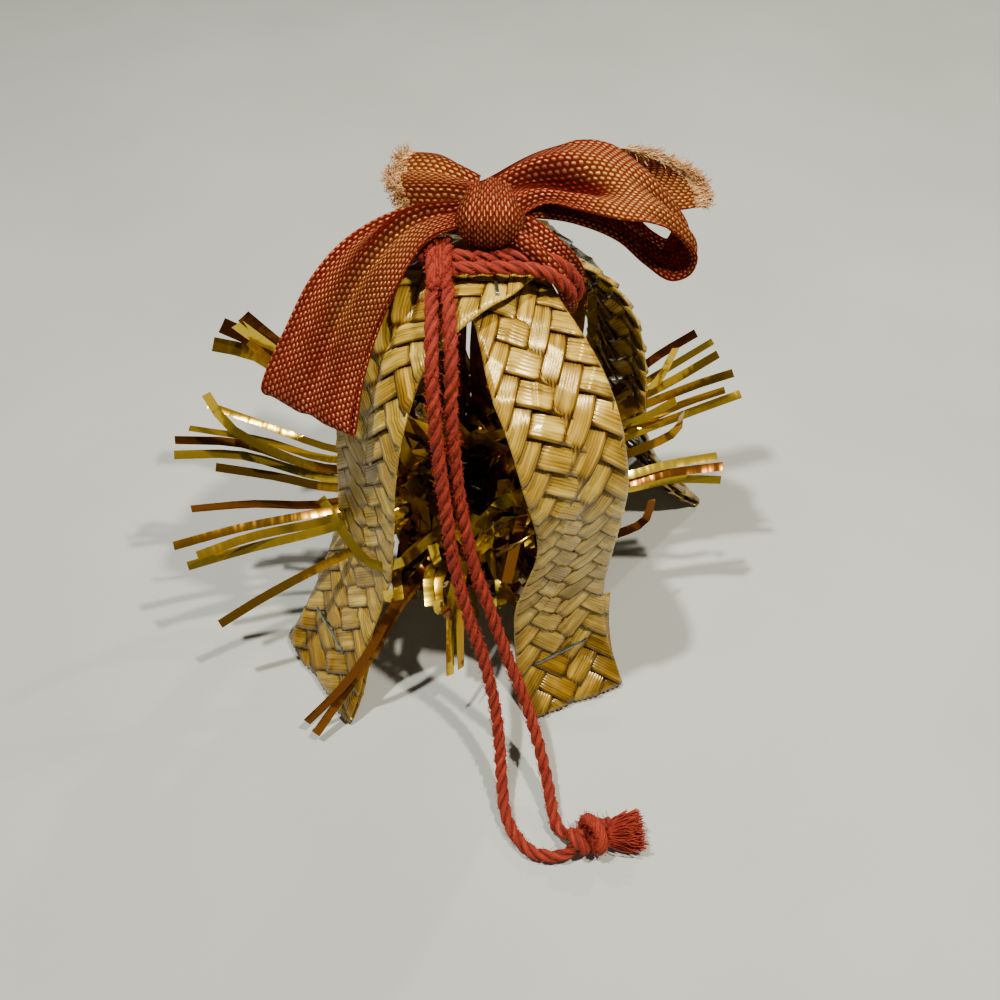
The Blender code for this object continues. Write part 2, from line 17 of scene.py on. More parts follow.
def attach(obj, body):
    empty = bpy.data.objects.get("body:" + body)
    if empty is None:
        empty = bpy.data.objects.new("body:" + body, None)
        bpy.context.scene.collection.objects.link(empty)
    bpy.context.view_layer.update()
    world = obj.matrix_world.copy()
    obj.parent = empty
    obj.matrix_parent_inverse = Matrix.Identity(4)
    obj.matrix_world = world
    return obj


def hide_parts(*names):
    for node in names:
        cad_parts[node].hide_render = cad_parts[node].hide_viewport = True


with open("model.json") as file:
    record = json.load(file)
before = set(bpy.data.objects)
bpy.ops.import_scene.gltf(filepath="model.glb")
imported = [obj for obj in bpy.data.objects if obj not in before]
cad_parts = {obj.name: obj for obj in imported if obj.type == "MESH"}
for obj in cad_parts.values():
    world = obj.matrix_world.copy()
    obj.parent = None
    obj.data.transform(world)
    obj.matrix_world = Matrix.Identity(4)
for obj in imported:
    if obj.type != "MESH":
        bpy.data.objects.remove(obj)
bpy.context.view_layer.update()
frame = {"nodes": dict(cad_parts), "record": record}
MM = 0.001

# The cage's axis stands in the middle of the bell's open space.
OPENINGS = {o["name"]: o["box_m"] for o in frame["record"]["physics"]["openings"]}
CAGE_AXIS = np.array([(lo + hi) / 2 for lo, hi in zip(*OPENINGS["bell_space"])]) * (1, 1, 0)
RANDOM = np.random.default_rng(24)


def place(points):
    """Millimetres about the cage axis to metres in the frame."""
    return np.asarray(points, float) * MM + CAGE_AXIS


# ---------------------------------------------------------------- curves
CURVE_STEPS = 20
# Where the side of a path's frame starts: upwards, a little off so that it is never along the path
FIRST_SIDE = (0.0, 0.31, 1.0)


def unit(vectors):
    return vectors / np.linalg.norm(vectors, axis=-1, keepdims=True)


def ease(t):
    t = np.clip(t, 0.0, 1.0)
    return t * t * (3 - 2 * t)


def heading(azimuth):
    """Level direction of an azimuth counted in degrees from the front towards +X."""
    a = np.radians(azimuth)
    return np.stack([np.sin(a), -np.cos(a), np.zeros_like(a)], axis=-1)


def travelled(path):
    steps = np.linalg.norm(np.diff(path, axis=0), axis=1)
    return np.concatenate([[0.0], np.cumsum(steps)])


def read_at(path, along, wanted):
    return np.stack([np.interp(wanted, along, path[:, k]) for k in range(path.shape[1])], axis=-1)


def evenly(path, count):
    along = travelled(path)
    return read_at(path, along, np.linspace(0, along[-1], count))


def smooth_path(points, count):
    """The same smooth curve through the points as the solids follow."""
    pts = np.asarray(points, float)
    pts = np.vstack([2 * pts[0] - pts[1], pts, 2 * pts[-1] - pts[-2]])
    dense = []
    for p0, p1, p2, p3 in zip(pts, pts[1:], pts[2:], pts[3:]):
        gaps = [np.linalg.norm(p1 - p0), np.linalg.norm(p2 - p1), np.linalg.norm(p3 - p2)]
        t0, t1, t2, t3 = np.cumsum([0.0] + [gap ** 0.5 for gap in gaps])
        t = np.linspace(t1, t2, CURVE_STEPS, endpoint=False)[:, None]
        a1 = ((t1 - t) * p0 + (t - t0) * p1) / (t1 - t0)
        a2 = ((t2 - t) * p1 + (t - t1) * p2) / (t2 - t1)
        a3 = ((t3 - t) * p2 + (t - t2) * p3) / (t3 - t2)
        b1 = ((t2 - t) * a1 + (t - t0) * a2) / (t2 - t0)
        b2 = ((t3 - t) * a2 + (t - t1) * a3) / (t3 - t1)
        dense.append(((t2 - t) * b1 + (t - t1) * b2) / (t2 - t1))
    return evenly(np.vstack(dense + [pts[-2][None]]), count)


def frames_along(path, closed=False):
    """Run, side and up of an untwisted frame carried along a path."""
    if closed:
        run = unit(np.roll(path, -1, axis=0) - np.roll(path, 1, axis=0))
    else:
        run = unit(np.gradient(path, axis=0))
    side = np.array(FIRST_SIDE)
    sides = []
    for r in run:
        side = side - r * side.dot(r)
        side = side / np.linalg.norm(side)
        sides.append(side)
    sides = np.array(sides)
    return run, sides, np.cross(run, sides)


# ---------------------------------------------------------------- meshes
SAME_PLACE = 0.000001


def select_only(obj):
    bpy.ops.object.select_all(action="DESELECT")
    obj.select_set(True)
    bpy.context.view_layer.objects.active = obj


def apply_modifier(obj, kind, **settings):
    select_only(obj)
    modifier = obj.modifiers.new(kind.lower(), kind)
    for key, value in settings.items():
        setattr(modifier, key, value)
    bpy.ops.object.modifier_apply(modifier=modifier.name)


def grid_faces(rows, columns, wrap_rows=False, wrap_columns=False):
    """Quads of a grid of points numbered row by row."""
    r = np.arange(rows if wrap_rows else rows - 1)
    c = np.arange(columns if wrap_columns else columns - 1)
    r, c = np.meshgrid(r, c, indexing="ij")
    below = (r + 1) % rows
    beside = (c + 1) % columns
    quads = [r * columns + c, r * columns + beside, below * columns + beside, below * columns + c]
    return np.stack(quads, axis=-1).reshape(-1, 4)


def grid_uv(across, along):
    """UV of a grid in millimetres, from distances across it and along it."""
    return np.stack(np.broadcast_arrays(across, along[:, None]), axis=-1)


def spokes(side, up, angles):
    """Directions at angles round a path, in its frames."""
    return side[:, None] * np.cos(angles)[..., None] + up[:, None] * np.sin(angles)[..., None]


class Heap:
    """Collects many small grids of points into one mesh, with a tone and a depth at each point. The
    depth is painted shade; on the ribbon the tone is painted light and on the foil painted
    reflection.
    """

    def __init__(self):
        self.verts, self.faces, self.uv, self.tone, self.depth, self.count = [], [], [], [], [], 0

    def add(self, verts, faces, uv=None, tone=0.5, depth=0.0):
        verts = np.asarray(verts, float).reshape(-1, 3)
        self.verts.append(verts)
        self.faces.append(np.asarray(faces) + self.count)
        self.uv.append(np.zeros((len(verts), 2)) if uv is None else np.reshape(uv, (-1, 2)))
        for store, value in ((self.tone, tone), (self.depth, depth)):
            one_each = np.ndim(value) < 2
            store.append(np.broadcast_to(value, len(verts)) if one_each else np.ravel(value))
        self.count += len(verts)

    def to_object(self, name, mat):
        """A smooth-shaded mesh, with its UV map in millimetres and its tone and depth."""
        mesh = bpy.data.meshes.new(name)
        mesh.from_pydata(place(np.vstack(self.verts)).tolist(), [], np.vstack(self.faces).tolist())
        corners = np.empty(len(mesh.loops), np.int32)
        mesh.loops.foreach_get("vertex_index", corners)
        uv = np.vstack(self.uv).astype(np.float32)[corners]
        mesh.uv_layers.new(name="UVMap").data.foreach_set("uv", uv.ravel())
        for value_name, values in (("tone", self.tone), ("depth", self.depth)):
            layer = mesh.attributes.new(value_name, "FLOAT", "POINT")
            layer.data.foreach_set("value", np.concatenate(values).astype(np.float32))
        # Seams and the middles of caps are closed by merging the points that lie on each other
        edit = bmesh.new()
        edit.from_mesh(mesh)
        bmesh.ops.remove_doubles(edit, verts=edit.verts, dist=SAME_PLACE)
        edit.to_mesh(mesh)
        edit.free()
        mesh.shade_smooth()
        mesh.materials.append(mat)
        obj = bpy.data.objects.new(name, mesh)
        bpy.context.scene.collection.objects.link(obj)
        return obj


def tube(heap, path, radii, sides, tone):
    """A thin round thread; its UV runs round it and along it in millimetres."""
    run, across, up = frames_along(path)
    radii = np.broadcast_to(radii, len(path))
    a = 2 * math.pi * np.arange(sides + 1) / sides
    verts = path[:, None] + spokes(across, up, a[None, :]) * radii[:, None, None]
    uv = grid_uv(a * radii.mean(), travelled(path))
    heap.add(verts, grid_faces(len(path), sides + 1), uv, tone)


def hand_over(piece, stands_for=None):
    """Every piece rides on the part's one body, and most stand for one of its solids."""
    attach(piece, "root")
    if stands_for:
        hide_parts(stands_for)


# ---------------------------------------------------------------- materials
# Threads of the ribbon's weave, warp to warp and weft to weft, as coarse as the real one
WARP_SPACING = 0.74
WEFT_SPACING = 0.62
WEAVE_WAVER = 2.2
DASH_STRETCH = 0.9
# Ridges of a flattened stalk, about eight to a splint, and the lean of the yarns in a cord's ply
RIDGES_PER_MM = 1.9
YARN_SLANT = -24.0
# A wave texture at scale 1 has one band in this length
WAVE_UNIT = 0.314
# A Mix node's colour sockets
MIX_A, MIX_B, MIX_OUT = 6, 7, 2


def colour(code):
    """An sRGB hex colour as linear RGBA."""
    parts = [int(code[k:k + 2], 16) / 255 for k in (1, 3, 5)]
    linear = [c / 12.92 if c <= 0.04045 else ((c + 0.055) / 1.055) ** 2.4 for c in parts]
    return (*linear, 1.0)


def node(mat, kind, output, inputs=None, stops=(), **settings):
    """Add a node and return one of its outputs; an input is a value or another node's output."""
    made = mat.node_tree.nodes.new("ShaderNode" + kind)
    for key, value in settings.items():
        setattr(made, key, value)
    for stop, (at, tint) in enumerate(stops):
        elements = made.color_ramp.elements
        element = elements[stop] if stop < 2 else elements.new(at)
        element.position = at
        element.color = colour(tint)
    for key, value in (inputs or {}).items():
        if isinstance(value, bpy.types.NodeSocket):
            mat.node_tree.links.new(value, made.inputs[key])
        else:
            made.inputs[key].default_value = value
    return made.outputs[output]


def new_material(name, base, roughness, **sockets):
    """A material whose shader has these values where nothing is linked."""
    mat = bpy.data.materials.new(name)
    mat.use_nodes = True
    values = {"Base Color": colour(base), "Roughness": roughness, **sockets}
    for key, value in values.items():
        mat.node_tree.nodes["Principled BSDF"].inputs[key.replace("_", " ")].default_value = value
    return mat


def linked(mat, **sockets):
    """The material with these outputs linked to its shader."""
    for key, output in sockets.items():
        shader = mat.node_tree.nodes["Principled BSDF"]
        mat.node_tree.links.new(output, shader.inputs[key.replace("_", " ")])
    return mat


def straw_material():
    """Rye straw, split, flattened and plaited: glossy from its waxy skin, with fine dark ridges
    along each splint, greyer half way down and darker towards the table, and painted shade where a
    splint goes under the next and along its outer sides."""
    mat = new_material("rye straw splint", "#C9A860", 0.34, Specular_IOR_Level=0.9,
                       Specular_Tint=colour("#FFE6A0"), Coat_Weight=0.15, Coat_Roughness=0.1)
    uv = node(mat, "UVMap", "UV", uv_map="UVMap")
    tone = node(mat, "Attribute", "Fac", attribute_name="tone")
    depth = node(mat, "Attribute", "Fac", attribute_name="depth")
    height = node(mat, "SeparateXYZ", "Z", {"Vector": node(mat, "TexCoord", "Object")})
    height = node(mat, "MapRange", "Result", {"Value": height, "From Min": 0.0, "From Max": 0.1})
    # Patterns drawn out along the splint: ridges, fibres 0.3 mm wide and streaks 1.6 mm wide
    for_ridges, for_fibres, for_streaks = (
        node(mat, "Mapping", "Vector", {"Vector": uv, "Scale": (across, along, 1.0)})
        for across, along in ((1.0, 0.05), (1 / 0.3, 0.04), (1 / 1.6, 0.07)))
    ridges = node(mat, "TexWave", "Fac", {
        "Vector": for_ridges, "Scale": RIDGES_PER_MM * WAVE_UNIT, "Distortion": 1.2, "Detail": 3.0,
        "Detail Scale": 1.5}, bands_direction="X")
    fibres = node(mat, "TexNoise", "Fac", {
        "Vector": for_fibres, "Scale": 1.0, "Detail": 4.0, "Roughness": 0.65})
    streaks = node(mat, "TexNoise", "Fac", {"Vector": for_streaks, "Scale": 1.0, "Detail": 3.0})
    # The last ramp, on the depth, is painted shade where a splint dives under the next
    gold, toned, grey, darker_near_table, fine, lines, dive_shade = (
        node(mat, "ValToRGB", "Color", {"Fac": factor}, stops) for factor, stops in (
            (streaks, [(0.30, "#8C7222"), (0.50, "#C2A642"), (0.72, "#F6E07C")]),
            (tone, [(0.0, "#BEA662"), (0.5, "#F2E4B8"), (1.0, "#FFFBF0")]),
            (height, [(0.16, "#000000"), (0.32, "#808080"), (0.55, "#808080"), (0.78, "#000000")]),
            # Darker towards the table, within about 24 mm of it
            (height, [(0.02, "#AEA068"), (0.24, "#FFFFFF")]),
            (fibres, [(0.34, "#7A5420"), (0.50, "#FFFFFF")]),
            (ridges, [(0.02, "#5A4210"), (0.24, "#FFFFFF")]),
            (depth, [(0.12, "#FFFFFF"), (0.5, "#7A5A2C"), (1.0, "#2C1A08")])))
    worn = node(mat, "MapRange", "Result", {
        "Value": streaks, "From Min": 0.35, "From Max": 0.65, "To Min": 0.7, "To Max": 0.1})
    base = gold
    for factor, layer, mode in ((0.9, toned, "MULTIPLY"), (grey, colour("#8C7C46"), "MIX"),
                                (1.0, darker_near_table, "MULTIPLY"), (0.45, fine, "MULTIPLY"),
                                (worn, lines, "MULTIPLY"), (1.0, dive_shade, "MULTIPLY")):
        base = node(mat, "Mix", MIX_OUT, {0: factor, MIX_A: base, MIX_B: layer},
                    data_type="RGBA", blend_type=mode)
    rough = node(mat, "MapRange", "Result", {"Value": streaks, "To Min": 0.32, "To Max": 0.17})
    relief = node(mat, "Math", "Value", {0: ridges, 1: fibres}, operation="ADD")
    bump = node(mat, "Bump", "Normal", {"Height": relief, "Strength": 0.22, "Distance": 0.0002})
    return linked(mat, Base_Color=base, Roughness=rough, Normal=bump)


def wire_material():
    """Zinc-coated steel wire: dull grey metal with fine drawing marks."""
    mat = new_material("zinc coated steel wire", "#8C918C", 0.38, Metallic=1.0)
    where = node(mat, "TexCoord", "Object")
    marks = node(mat, "TexNoise", "Fac", {"Vector": where, "Scale": 900.0, "Detail": 3.0})
    tint = node(mat, "ValToRGB", "Color", {"Fac": marks}, [(0.3, "#5F665F"), (0.7, "#A9AEA8")])
    bump = node(mat, "Bump", "Normal", {"Height": marks, "Strength": 0.3, "Distance": 0.00005})
    return linked(mat, Base_Color=tint, Normal=bump)


def foil_material():
    """Gold metallised polyester film, slit into narrow strips: mirror bright, with soft creases
    that break up what it reflects. Its tone is painted reflection: deep amber where a strip would
    mirror other strips, bright where it catches a lamp."""
    mat = new_material("gold metallised film", "#C8901A", 0.15, Metallic=0.82)
    uv = node(mat, "UVMap", "UV", uv_map="UVMap")
    tone = node(mat, "Attribute", "Fac", attribute_name="tone")
    tint = node(mat, "ValToRGB", "Color", {"Fac": tone}, [
        (0.0, "#52240A"), (0.3, "#7C4A10"), (0.6, "#B8901C"), (1.0, "#E4C840")])
    drawn = node(mat, "Mapping", "Vector", {"Vector": uv, "Scale": (0.12, 0.35, 1.0)})
    creases = node(mat, "TexNoise", "Fac", {"Vector": drawn, "Scale": 1.0, "Detail": 1.5})
    bump = node(mat, "Bump", "Normal", {"Height": creases, "Strength": 0.35, "Distance": 0.0005})
    return linked(mat, Base_Color=tint, Normal=bump)


def ribbon_material():
    """Copper-red ribbon in a coarse plain weave: each warp thread shows as a bright satin dash
    where it passes over the dark red weft, and goes dull and dark red in the shade."""
    mat = new_material("woven polyester ribbon", "#A8452A", 0.4, Specular_IOR_Level=0.3,
                       Specular_Tint=colour("#FFA060"), Subsurface_Weight=0.5,
                       Subsurface_Radius=(1.0, 0.15, 0.04), Subsurface_Scale=0.0016)
    uv = node(mat, "UVMap", "UV", uv_map="UVMap")
    tone = node(mat, "Attribute", "Fac", attribute_name="tone")
    depth = node(mat, "Attribute", "Fac", attribute_name="depth")
    waver = node(mat, "TexNoise", "Fac", {"Vector": uv, "Scale": 0.7, "Detail": 2.0})
    waves = []
    for direction, spacing in (("X", WARP_SPACING), ("Y", WEFT_SPACING)):
        across = node(mat, "SeparateXYZ", direction, {"Vector": uv})
        phase = node(mat, "Math", "Value", {0: across, 1: math.pi / spacing}, operation="MULTIPLY")
        moved = node(mat, "Math", "Value", {0: waver, 1: WEAVE_WAVER, 2: phase},
                     operation="MULTIPLY_ADD")
        waves.append(node(mat, "Math", "Value", {0: moved}, operation="COSINE"))
    # A dash is narrow across the ribbon and longer than half its repeat along it
    rib = node(mat, "Math", "Value", {0: waves[0]}, operation="ABSOLUTE")
    weave = node(mat, "Math", "Value", {0: waves[0], 1: waves[1]}, operation="MULTIPLY")
    longer = node(mat, "Math", "Value", {0: rib, 1: DASH_STRETCH, 2: weave},
                  operation="MULTIPLY_ADD")
    narrow = node(mat, "Math", "Value", {0: longer, 1: rib}, operation="MULTIPLY")
    dash = node(mat, "MapRange", "Result", {"Value": narrow, "From Min": 0.22, "From Max": 1.0},
                interpolation_type="SMOOTHSTEP")
    uneven = node(mat, "TexNoise", "Fac", {"Vector": uv, "Scale": 0.35, "Detail": 2.0})
    warp = node(mat, "ValToRGB", "Color", {"Fac": uneven}, [(0.3, "#94543A"), (0.65, "#BC7A5A")])
    shaded = node(mat, "ValToRGB", "Color", {"Fac": depth}, [(0.0, "#FFFFFF"), (1.0, "#96180C")])
    # Painted light: where light comes through the cloth, both its threads are drawn gold-tinted
    warp, ground = (
        node(mat, "Mix", MIX_OUT, {0: tone, MIX_A: red, MIX_B: lit_through}, data_type="RGBA")
        for red, lit_through in ((warp, colour("#CC9C5E")), (colour("#500A02"), colour("#5A2808"))))
    base = node(mat, "Mix", MIX_OUT, {0: dash, MIX_A: ground, MIX_B: warp}, data_type="RGBA")
    base = node(mat, "Mix", MIX_OUT, {0: 1.0, MIX_A: base, MIX_B: shaded},
                data_type="RGBA", blend_type="MULTIPLY")
    satin = node(mat, "MapRange", "Result", {"Value": dash, "To Min": 0.0, "To Max": 0.7})
    rough = node(mat, "MapRange", "Result", {"Value": dash, "To Min": 0.8, "To Max": 0.46})
    bump = node(mat, "Bump", "Normal", {"Height": narrow, "Strength": 0.8, "Distance": 0.00012})
    return linked(mat, Base_Color=base, Metallic=satin, Roughness=rough, Normal=bump)


def thread_material():
    """Loose warp threads at the ribbon's cut ends, tan and slightly shiny."""
    mat = new_material("frayed warp thread", "#BE8A4C", 0.5, Sheen_Weight=0.2)
    tone = node(mat, "Attribute", "Fac", attribute_name="tone")
    tint = node(mat, "ValToRGB", "Color", {"Fac": tone}, [
        (0.0, "#8C5420"), (0.5, "#BE8A4C"), (1.0, "#E0C08C")])
    return linked(mat, Base_Color=tint)


def cotton_material():
    """Dyed cotton cord, three plies twisted: matt and hairy, with the fine yarns of each ply
    catching the light, and painted shade in the grooves between the plies."""
    mat = new_material("twisted cotton cord", "#941606", 0.85, Sheen_Weight=0.1,
                       Sheen_Tint=colour("#FF7A40"), Sheen_Roughness=0.5)
    uv = node(mat, "UVMap", "UV", uv_map="UVMap")
    tone = node(mat, "Attribute", "Fac", attribute_name="tone")
    depth = node(mat, "Attribute", "Fac", attribute_name="depth")
    # Yarns 0.36 mm thick, nearly in line with the cord, so at a slant across each ply
    slant = node(mat, "Mapping", "Vector", {
        "Vector": uv, "Rotation": (0.0, 0.0, math.radians(YARN_SLANT)),
        "Scale": (1 / 0.36, 0.12, 1.0)})
    yarns = node(mat, "TexNoise", "Fac", {
        "Vector": slant, "Scale": 1.0, "Detail": 3.0, "Roughness": 0.6})
    tint = node(mat, "ValToRGB", "Color", {"Fac": yarns}, [
        (0.34, "#640A00"), (0.50, "#881E04"), (0.66, "#A8380E")])
    # Painted shade, dark red, from the depth: in the grooves between plies, on cut ends and in the
    # lump
    shade = node(mat, "ValToRGB", "Color", {"Fac": depth}, [(0.05, "#FFFFFF"), (0.9, "#A04838")])
    # The loose fibres have a high tone and look paler
    pale = node(mat, "MapRange", "Result", {
        "Value": tone, "From Min": 0.5, "From Max": 1.0, "To Min": 0.0, "To Max": 0.55})
    for factor, layer, mode in ((1.0, shade, "MULTIPLY"), (pale, colour("#B03414"), "MIX")):
        tint = node(mat, "Mix", MIX_OUT, {0: factor, MIX_A: tint, MIX_B: layer},
                    data_type="RGBA", blend_type=mode)
    bump = node(mat, "Bump", "Normal", {"Height": yarns, "Strength": 1.0, "Distance": 0.0003})
    return linked(mat, Base_Color=tint, Normal=bump)


def paper_material():
    """A pale matt table top with faint mottling."""
    mat = new_material("pale table", "#DCDBD5", 0.8)
    where = node(mat, "TexCoord", "Object")
    mottle = node(mat, "TexNoise", "Fac", {"Vector": where, "Scale": 14.0, "Detail": 4.0})
    tint = node(mat, "ValToRGB", "Color", {"Fac": mottle}, [(0.3, "#B0B6B0"), (0.7, "#B9BFB9")])
    return linked(mat, Base_Color=tint)


# ---------------------------------------------------------------- camera, floor and light
CAMERA_PLACE = (-1.3, -148.1, 200.7)
CAMERA_TILT = 40.0
# Focal length and film width alike
LENS = 36.0
NEAREST_SEEN = 0.005
FLOOR_SIZE = 4.0
ROOM_LIGHT = 0.025
# Each soft lamp's place and aim about the cage axis, its size, power and colour
LAMPS = {
    "lamp_right": ((165, -97, 470), (0, 0, 30), 17, 2.5, "#FFF2E0"),
    "lamp_left": ((-195, -50, 740), (0, 0, 30), 26, 6.4, "#FFF8EE"),
    "lamp_back": ((240, 340, 390), (0, 0, 30), 20, 1.0, "#FFF6E8"),
    "softbox": ((0, -460, 330), (0, 0, 50), 300, 0.2, "#FFF8EE"),
}


def lamp(name, spot, aim, size, power, tint):
    """A soft square lamp aimed at a point; places are millimetres about the cage axis."""
    data = bpy.data.lights.new(name, "AREA")
    data.size = size * MM
    data.energy = power
    data.color = colour(tint)[:3]
    obj = bpy.data.objects.new(name, data)
    obj.location = place(spot)
    towards = unit(place(aim) - place(spot))
    side = unit(np.cross(towards, (0.0, 0.0, 1.0)))
    up = np.cross(side, towards)
    obj.rotation_euler = Matrix((side, up, -towards)).transposed().to_euler()
    bpy.context.scene.collection.objects.link(obj)


def studio():
    """A pale table under soft lamps, and the camera looking down at the front."""
    scene = bpy.context.scene
    lens = bpy.data.cameras.new("camera")
    lens.lens = lens.sensor_width = LENS
    lens.clip_start = NEAREST_SEEN
    camera = bpy.data.objects.new("camera", lens)
    camera.location = place(CAMERA_PLACE)
    camera.rotation_euler = (math.radians(CAMERA_TILT), 0.0, 0.0)
    scene.collection.objects.link(camera)
    scene.camera = camera
    bpy.ops.object.select_all(action="DESELECT")
    bpy.ops.mesh.primitive_plane_add(size=FLOOR_SIZE, location=(0, 0, 0))
    floor = bpy.context.object
    floor.name = "table"
    floor.data.materials.append(paper_material())
    world = bpy.data.worlds.new("room")
    scene.world = world
    world.use_nodes = True
    background = world.node_tree.nodes["Background"].inputs
    background["Color"].default_value = colour("#D8DADC")
    background["Strength"].default_value = ROOM_LIGHT
    for name, facts in LAMPS.items():
        lamp(name, *facts)


# ---------------------------------------------------------------- cord
CORD = 2.55
PLIES = 3
# Length of one full turn of the plies, and the points on each ply's outer arc and along the cord
PLY_PITCH = 9.0
PLY_POINTS = 8
PLY_STEP = 0.4
# Each ply is a circle off the cord's middle: its radius and its place, as shares of the diameter
PLY_SIZE = 0.262
PLY_PLACE = 0.238
# How far a cut end is domed, and how dark its dome is
END_DOME = 0.2
END_SHADE = 0.6
# Points on the line that the cord's facts are read from
STRAND_LEFT = [
    (-13.0, -9.3, 91.9), (-13.0, -14.5, 90.0), (-12.9, -21.1, 85.7), (-12.7, -26.1, 78.2),
    (-12.0, -29.6, 69.0), (-11.0, -32.9, 58.0), (-9.9, -36.0, 47.0), (-7.6, -39.5, 36.0),
    (-4.6, -43.6, 26.0), (-2.5, -48.5, 17.5), (-1.4, -54.3, 10.3), (-0.9, -60.5, 5.4),
    (-0.1, -66.0, 2.8), (2.3, -70.6, 1.9), (5.6, -73.5, 1.7), (9.6, -74.2, 1.7)]
STRAND_RIGHT = [
    (-10.3, -9.0, 92.2), (-9.9, -14.5, 90.7), (-9.6, -21.0, 86.1), (-9.8, -24.7, 78.2),
    (-9.4, -27.9, 69.0), (-8.4, -31.2, 58.0), (-6.5, -34.6, 47.0), (-3.2, -38.5, 36.0),
    (0.2, -43.0, 26.0), (3.8, -48.0, 17.5), (6.6, -54.0, 10.3), (8.5, -60.3, 5.4),
    (9.4, -65.2, 3.3), (10.3, -68.9, 2.5)]


def plies(heap, path, closed=False, start=0.0):
    """Yarn plies twisted round each other along a path, right-handed, as their common outside."""
    along = travelled(path)
    length = along[-1] + (np.linalg.norm(path[0] - path[-1]) if closed else 0.0)
    turns = length / PLY_PITCH
    run, side, up = frames_along(path, closed)
    slip = 0.0
    if closed:
        turns = round(turns)
        slip = math.atan2(side[-1].dot(up[0]), side[-1].dot(side[0]))
    # Past the place where two plies meet, the next one is outside
    ply, off = CORD * PLY_SIZE, CORD * PLY_PLACE
    local = (np.arange(PLY_POINTS) / PLY_POINTS - 0.5) * 2 * math.pi / PLIES
    reach = off * np.cos(local) + np.sqrt(ply ** 2 - (off * np.sin(local)) ** 2)
    reach = np.tile(reach, PLIES)
    angle = np.concatenate([local + 2 * math.pi * k / PLIES for k in range(PLIES)])
    angle, reach = np.append(angle, angle[0] + 2 * math.pi), np.append(reach, reach[0])
    turned = start + angle[None, :] + ((2 * math.pi * turns - slip) * along / length)[:, None]
    soft = 1 + 0.025 * np.sin(along * 1.9 + start) + 0.02 * np.sin(along * 5.3)
    ring = reach[None, :] * soft[:, None]
    verts = path[:, None] + spokes(side, up, turned) * ring[..., None]
    # Painted shade, deepest where two plies meet
    groove = np.tile(np.append(np.abs(local), 0)[:PLY_POINTS], PLIES) * PLIES / math.pi
    groove = np.append(groove, groove[0])
    heap.add(verts, grid_faces(len(path), len(angle), wrap_rows=closed),
             grid_uv(angle * CORD / 2, along), depth=np.broadcast_to(groove ** 3, ring.shape))
    for end, outwards in () if closed else ((0, -1), (-1, 1)):
        inwards = np.array([1.0, 0.6, 0.0])[:, None, None]
        domed = path[end] + run[end] * outwards * END_DOME * CORD * (1 - inwards ** 2)
        cap = domed + (verts[end] - path[end])[None] * inwards
        heap.add(cap, grid_faces(len(inwards), len(angle))[:, ::outwards], depth=END_SHADE)


def hanging_strand(name, route, node_name, mat, start):
    """One of the two strands that hang from the hitch to the knot on the table."""
    rough = smooth_path(route, 400)
    path = evenly(rough, round(travelled(rough)[-1] / PLY_STEP))
    heap = Heap()
    plies(heap, path, start=start)
    strand = heap.to_object(name, mat)
    hand_over(strand, node_name)
    return path


# ---------------------------------------------------------------- plaited bands
SPLINTS = 7
BAND_WIDTH = 20.8
PITCH = BAND_WIDTH / SPLINTS
SPLINT_WIDTH = PITCH * math.sqrt(2)
# How the width changes: wider towards each foot from this height down, narrower over the crown,
# with a bulge and, on one leg, a squeeze about a height
FOOT_FLARE = 1.4
FOLD_LENGTH = 23.0
CROWN_WIDTH = 16.2
PINCH_START = 9.0
PINCH_REACH = 26.0
UPPER_BULGE = 2.2
BULGE_END = 5.0
BULGE_FADE = 10.0
SQUEEZE_HEIGHT = 47.0
SQUEEZE_REACH = 15.0
UPPER_SPREAD = 4.6
LOWER_SQUEEZE = 3.6
# The band turns from one leg's heading to the other's over this length about the crossing
TURN_LENGTH = 30.0
BAND_POINTS = 900
CROSSING = (-2.3, 2.0)
CROSSING_PULL = (66.0, 86.0)
UPPER_CROWN = 89.9
LOWER_CROWN = 87.2
# Each leg's azimuth, and its reach from the axis at each height
LEGS = {
    "front_left": (-54.0, [(11, 89.2), (22, 83.4), (29, 74), (33, 62), (34.5, 50), (37, 34),
                           (42, 22), (49, 9), (54.5, 1.2), (57, -2.5)]),
    "back_right": (122.0, [(11, 89.4), (19, 83.4), (24, 74), (27, 62), (29, 48), (32, 34),
                           (38, 22), (46, 9), (53, 1.2), (56, -2.5)]),
    "front_right": (22.0, [(11, 86.2), (22, 81), (29.5, 74), (33.5, 62), (33, 50), (31, 34),
                           (30, 22), (34, 9), (42.5, 1.2), (46, -2.5)]),
    "back_left": (221.0, [(11, 86.2), (21, 81.5), (28, 74), (32, 62), (33, 48), (33, 34),
                          (35, 22), (39, 9), (45.5, 1.2), (48.5, -2.5)]),
}
# The splints are flattened straws: thickness, how far the upper one lies above the plait's middle
# at a crossing, and how much its middle bows up
SPLINT_THICKNESS = 0.24
OVER_LIFT = 0.42
SPLINT_CROWN = 0.05
SPLINT_OVERLAP = 1.10
# How far splints differ in width, in where they lie and in how they lean, in splints and mm
SPLINT_UNEVENNESS = 0.03
SPLINT_TILT = 0.11
# Over two, under two: a float is an arch, squarer for a lower power
FLOAT_SQUARENESS = 0.42
# Each float is creased where it was bent over: the crease's height and its half width in splints
CREASE = (0.10, 0.42)
CREASE_REACH = 0.13
FLOAT_CENTRES = (0.5, 4.5)
# The plait is pulled askew over the crown
ASKEW = 0.4
ASKEW_START = 8.0
ASKEW_REACH = (30.0, 62.0)
# Neighbouring splints lie on each other like shingles, the side nearer the foot on top
SHINGLE = 0.34
# Half way down each leg they stand off like scales: how much more, how far along, over what reach
SCALES = (0.9, 44.0, 16.0)
SHINGLE_TURN = 12.0
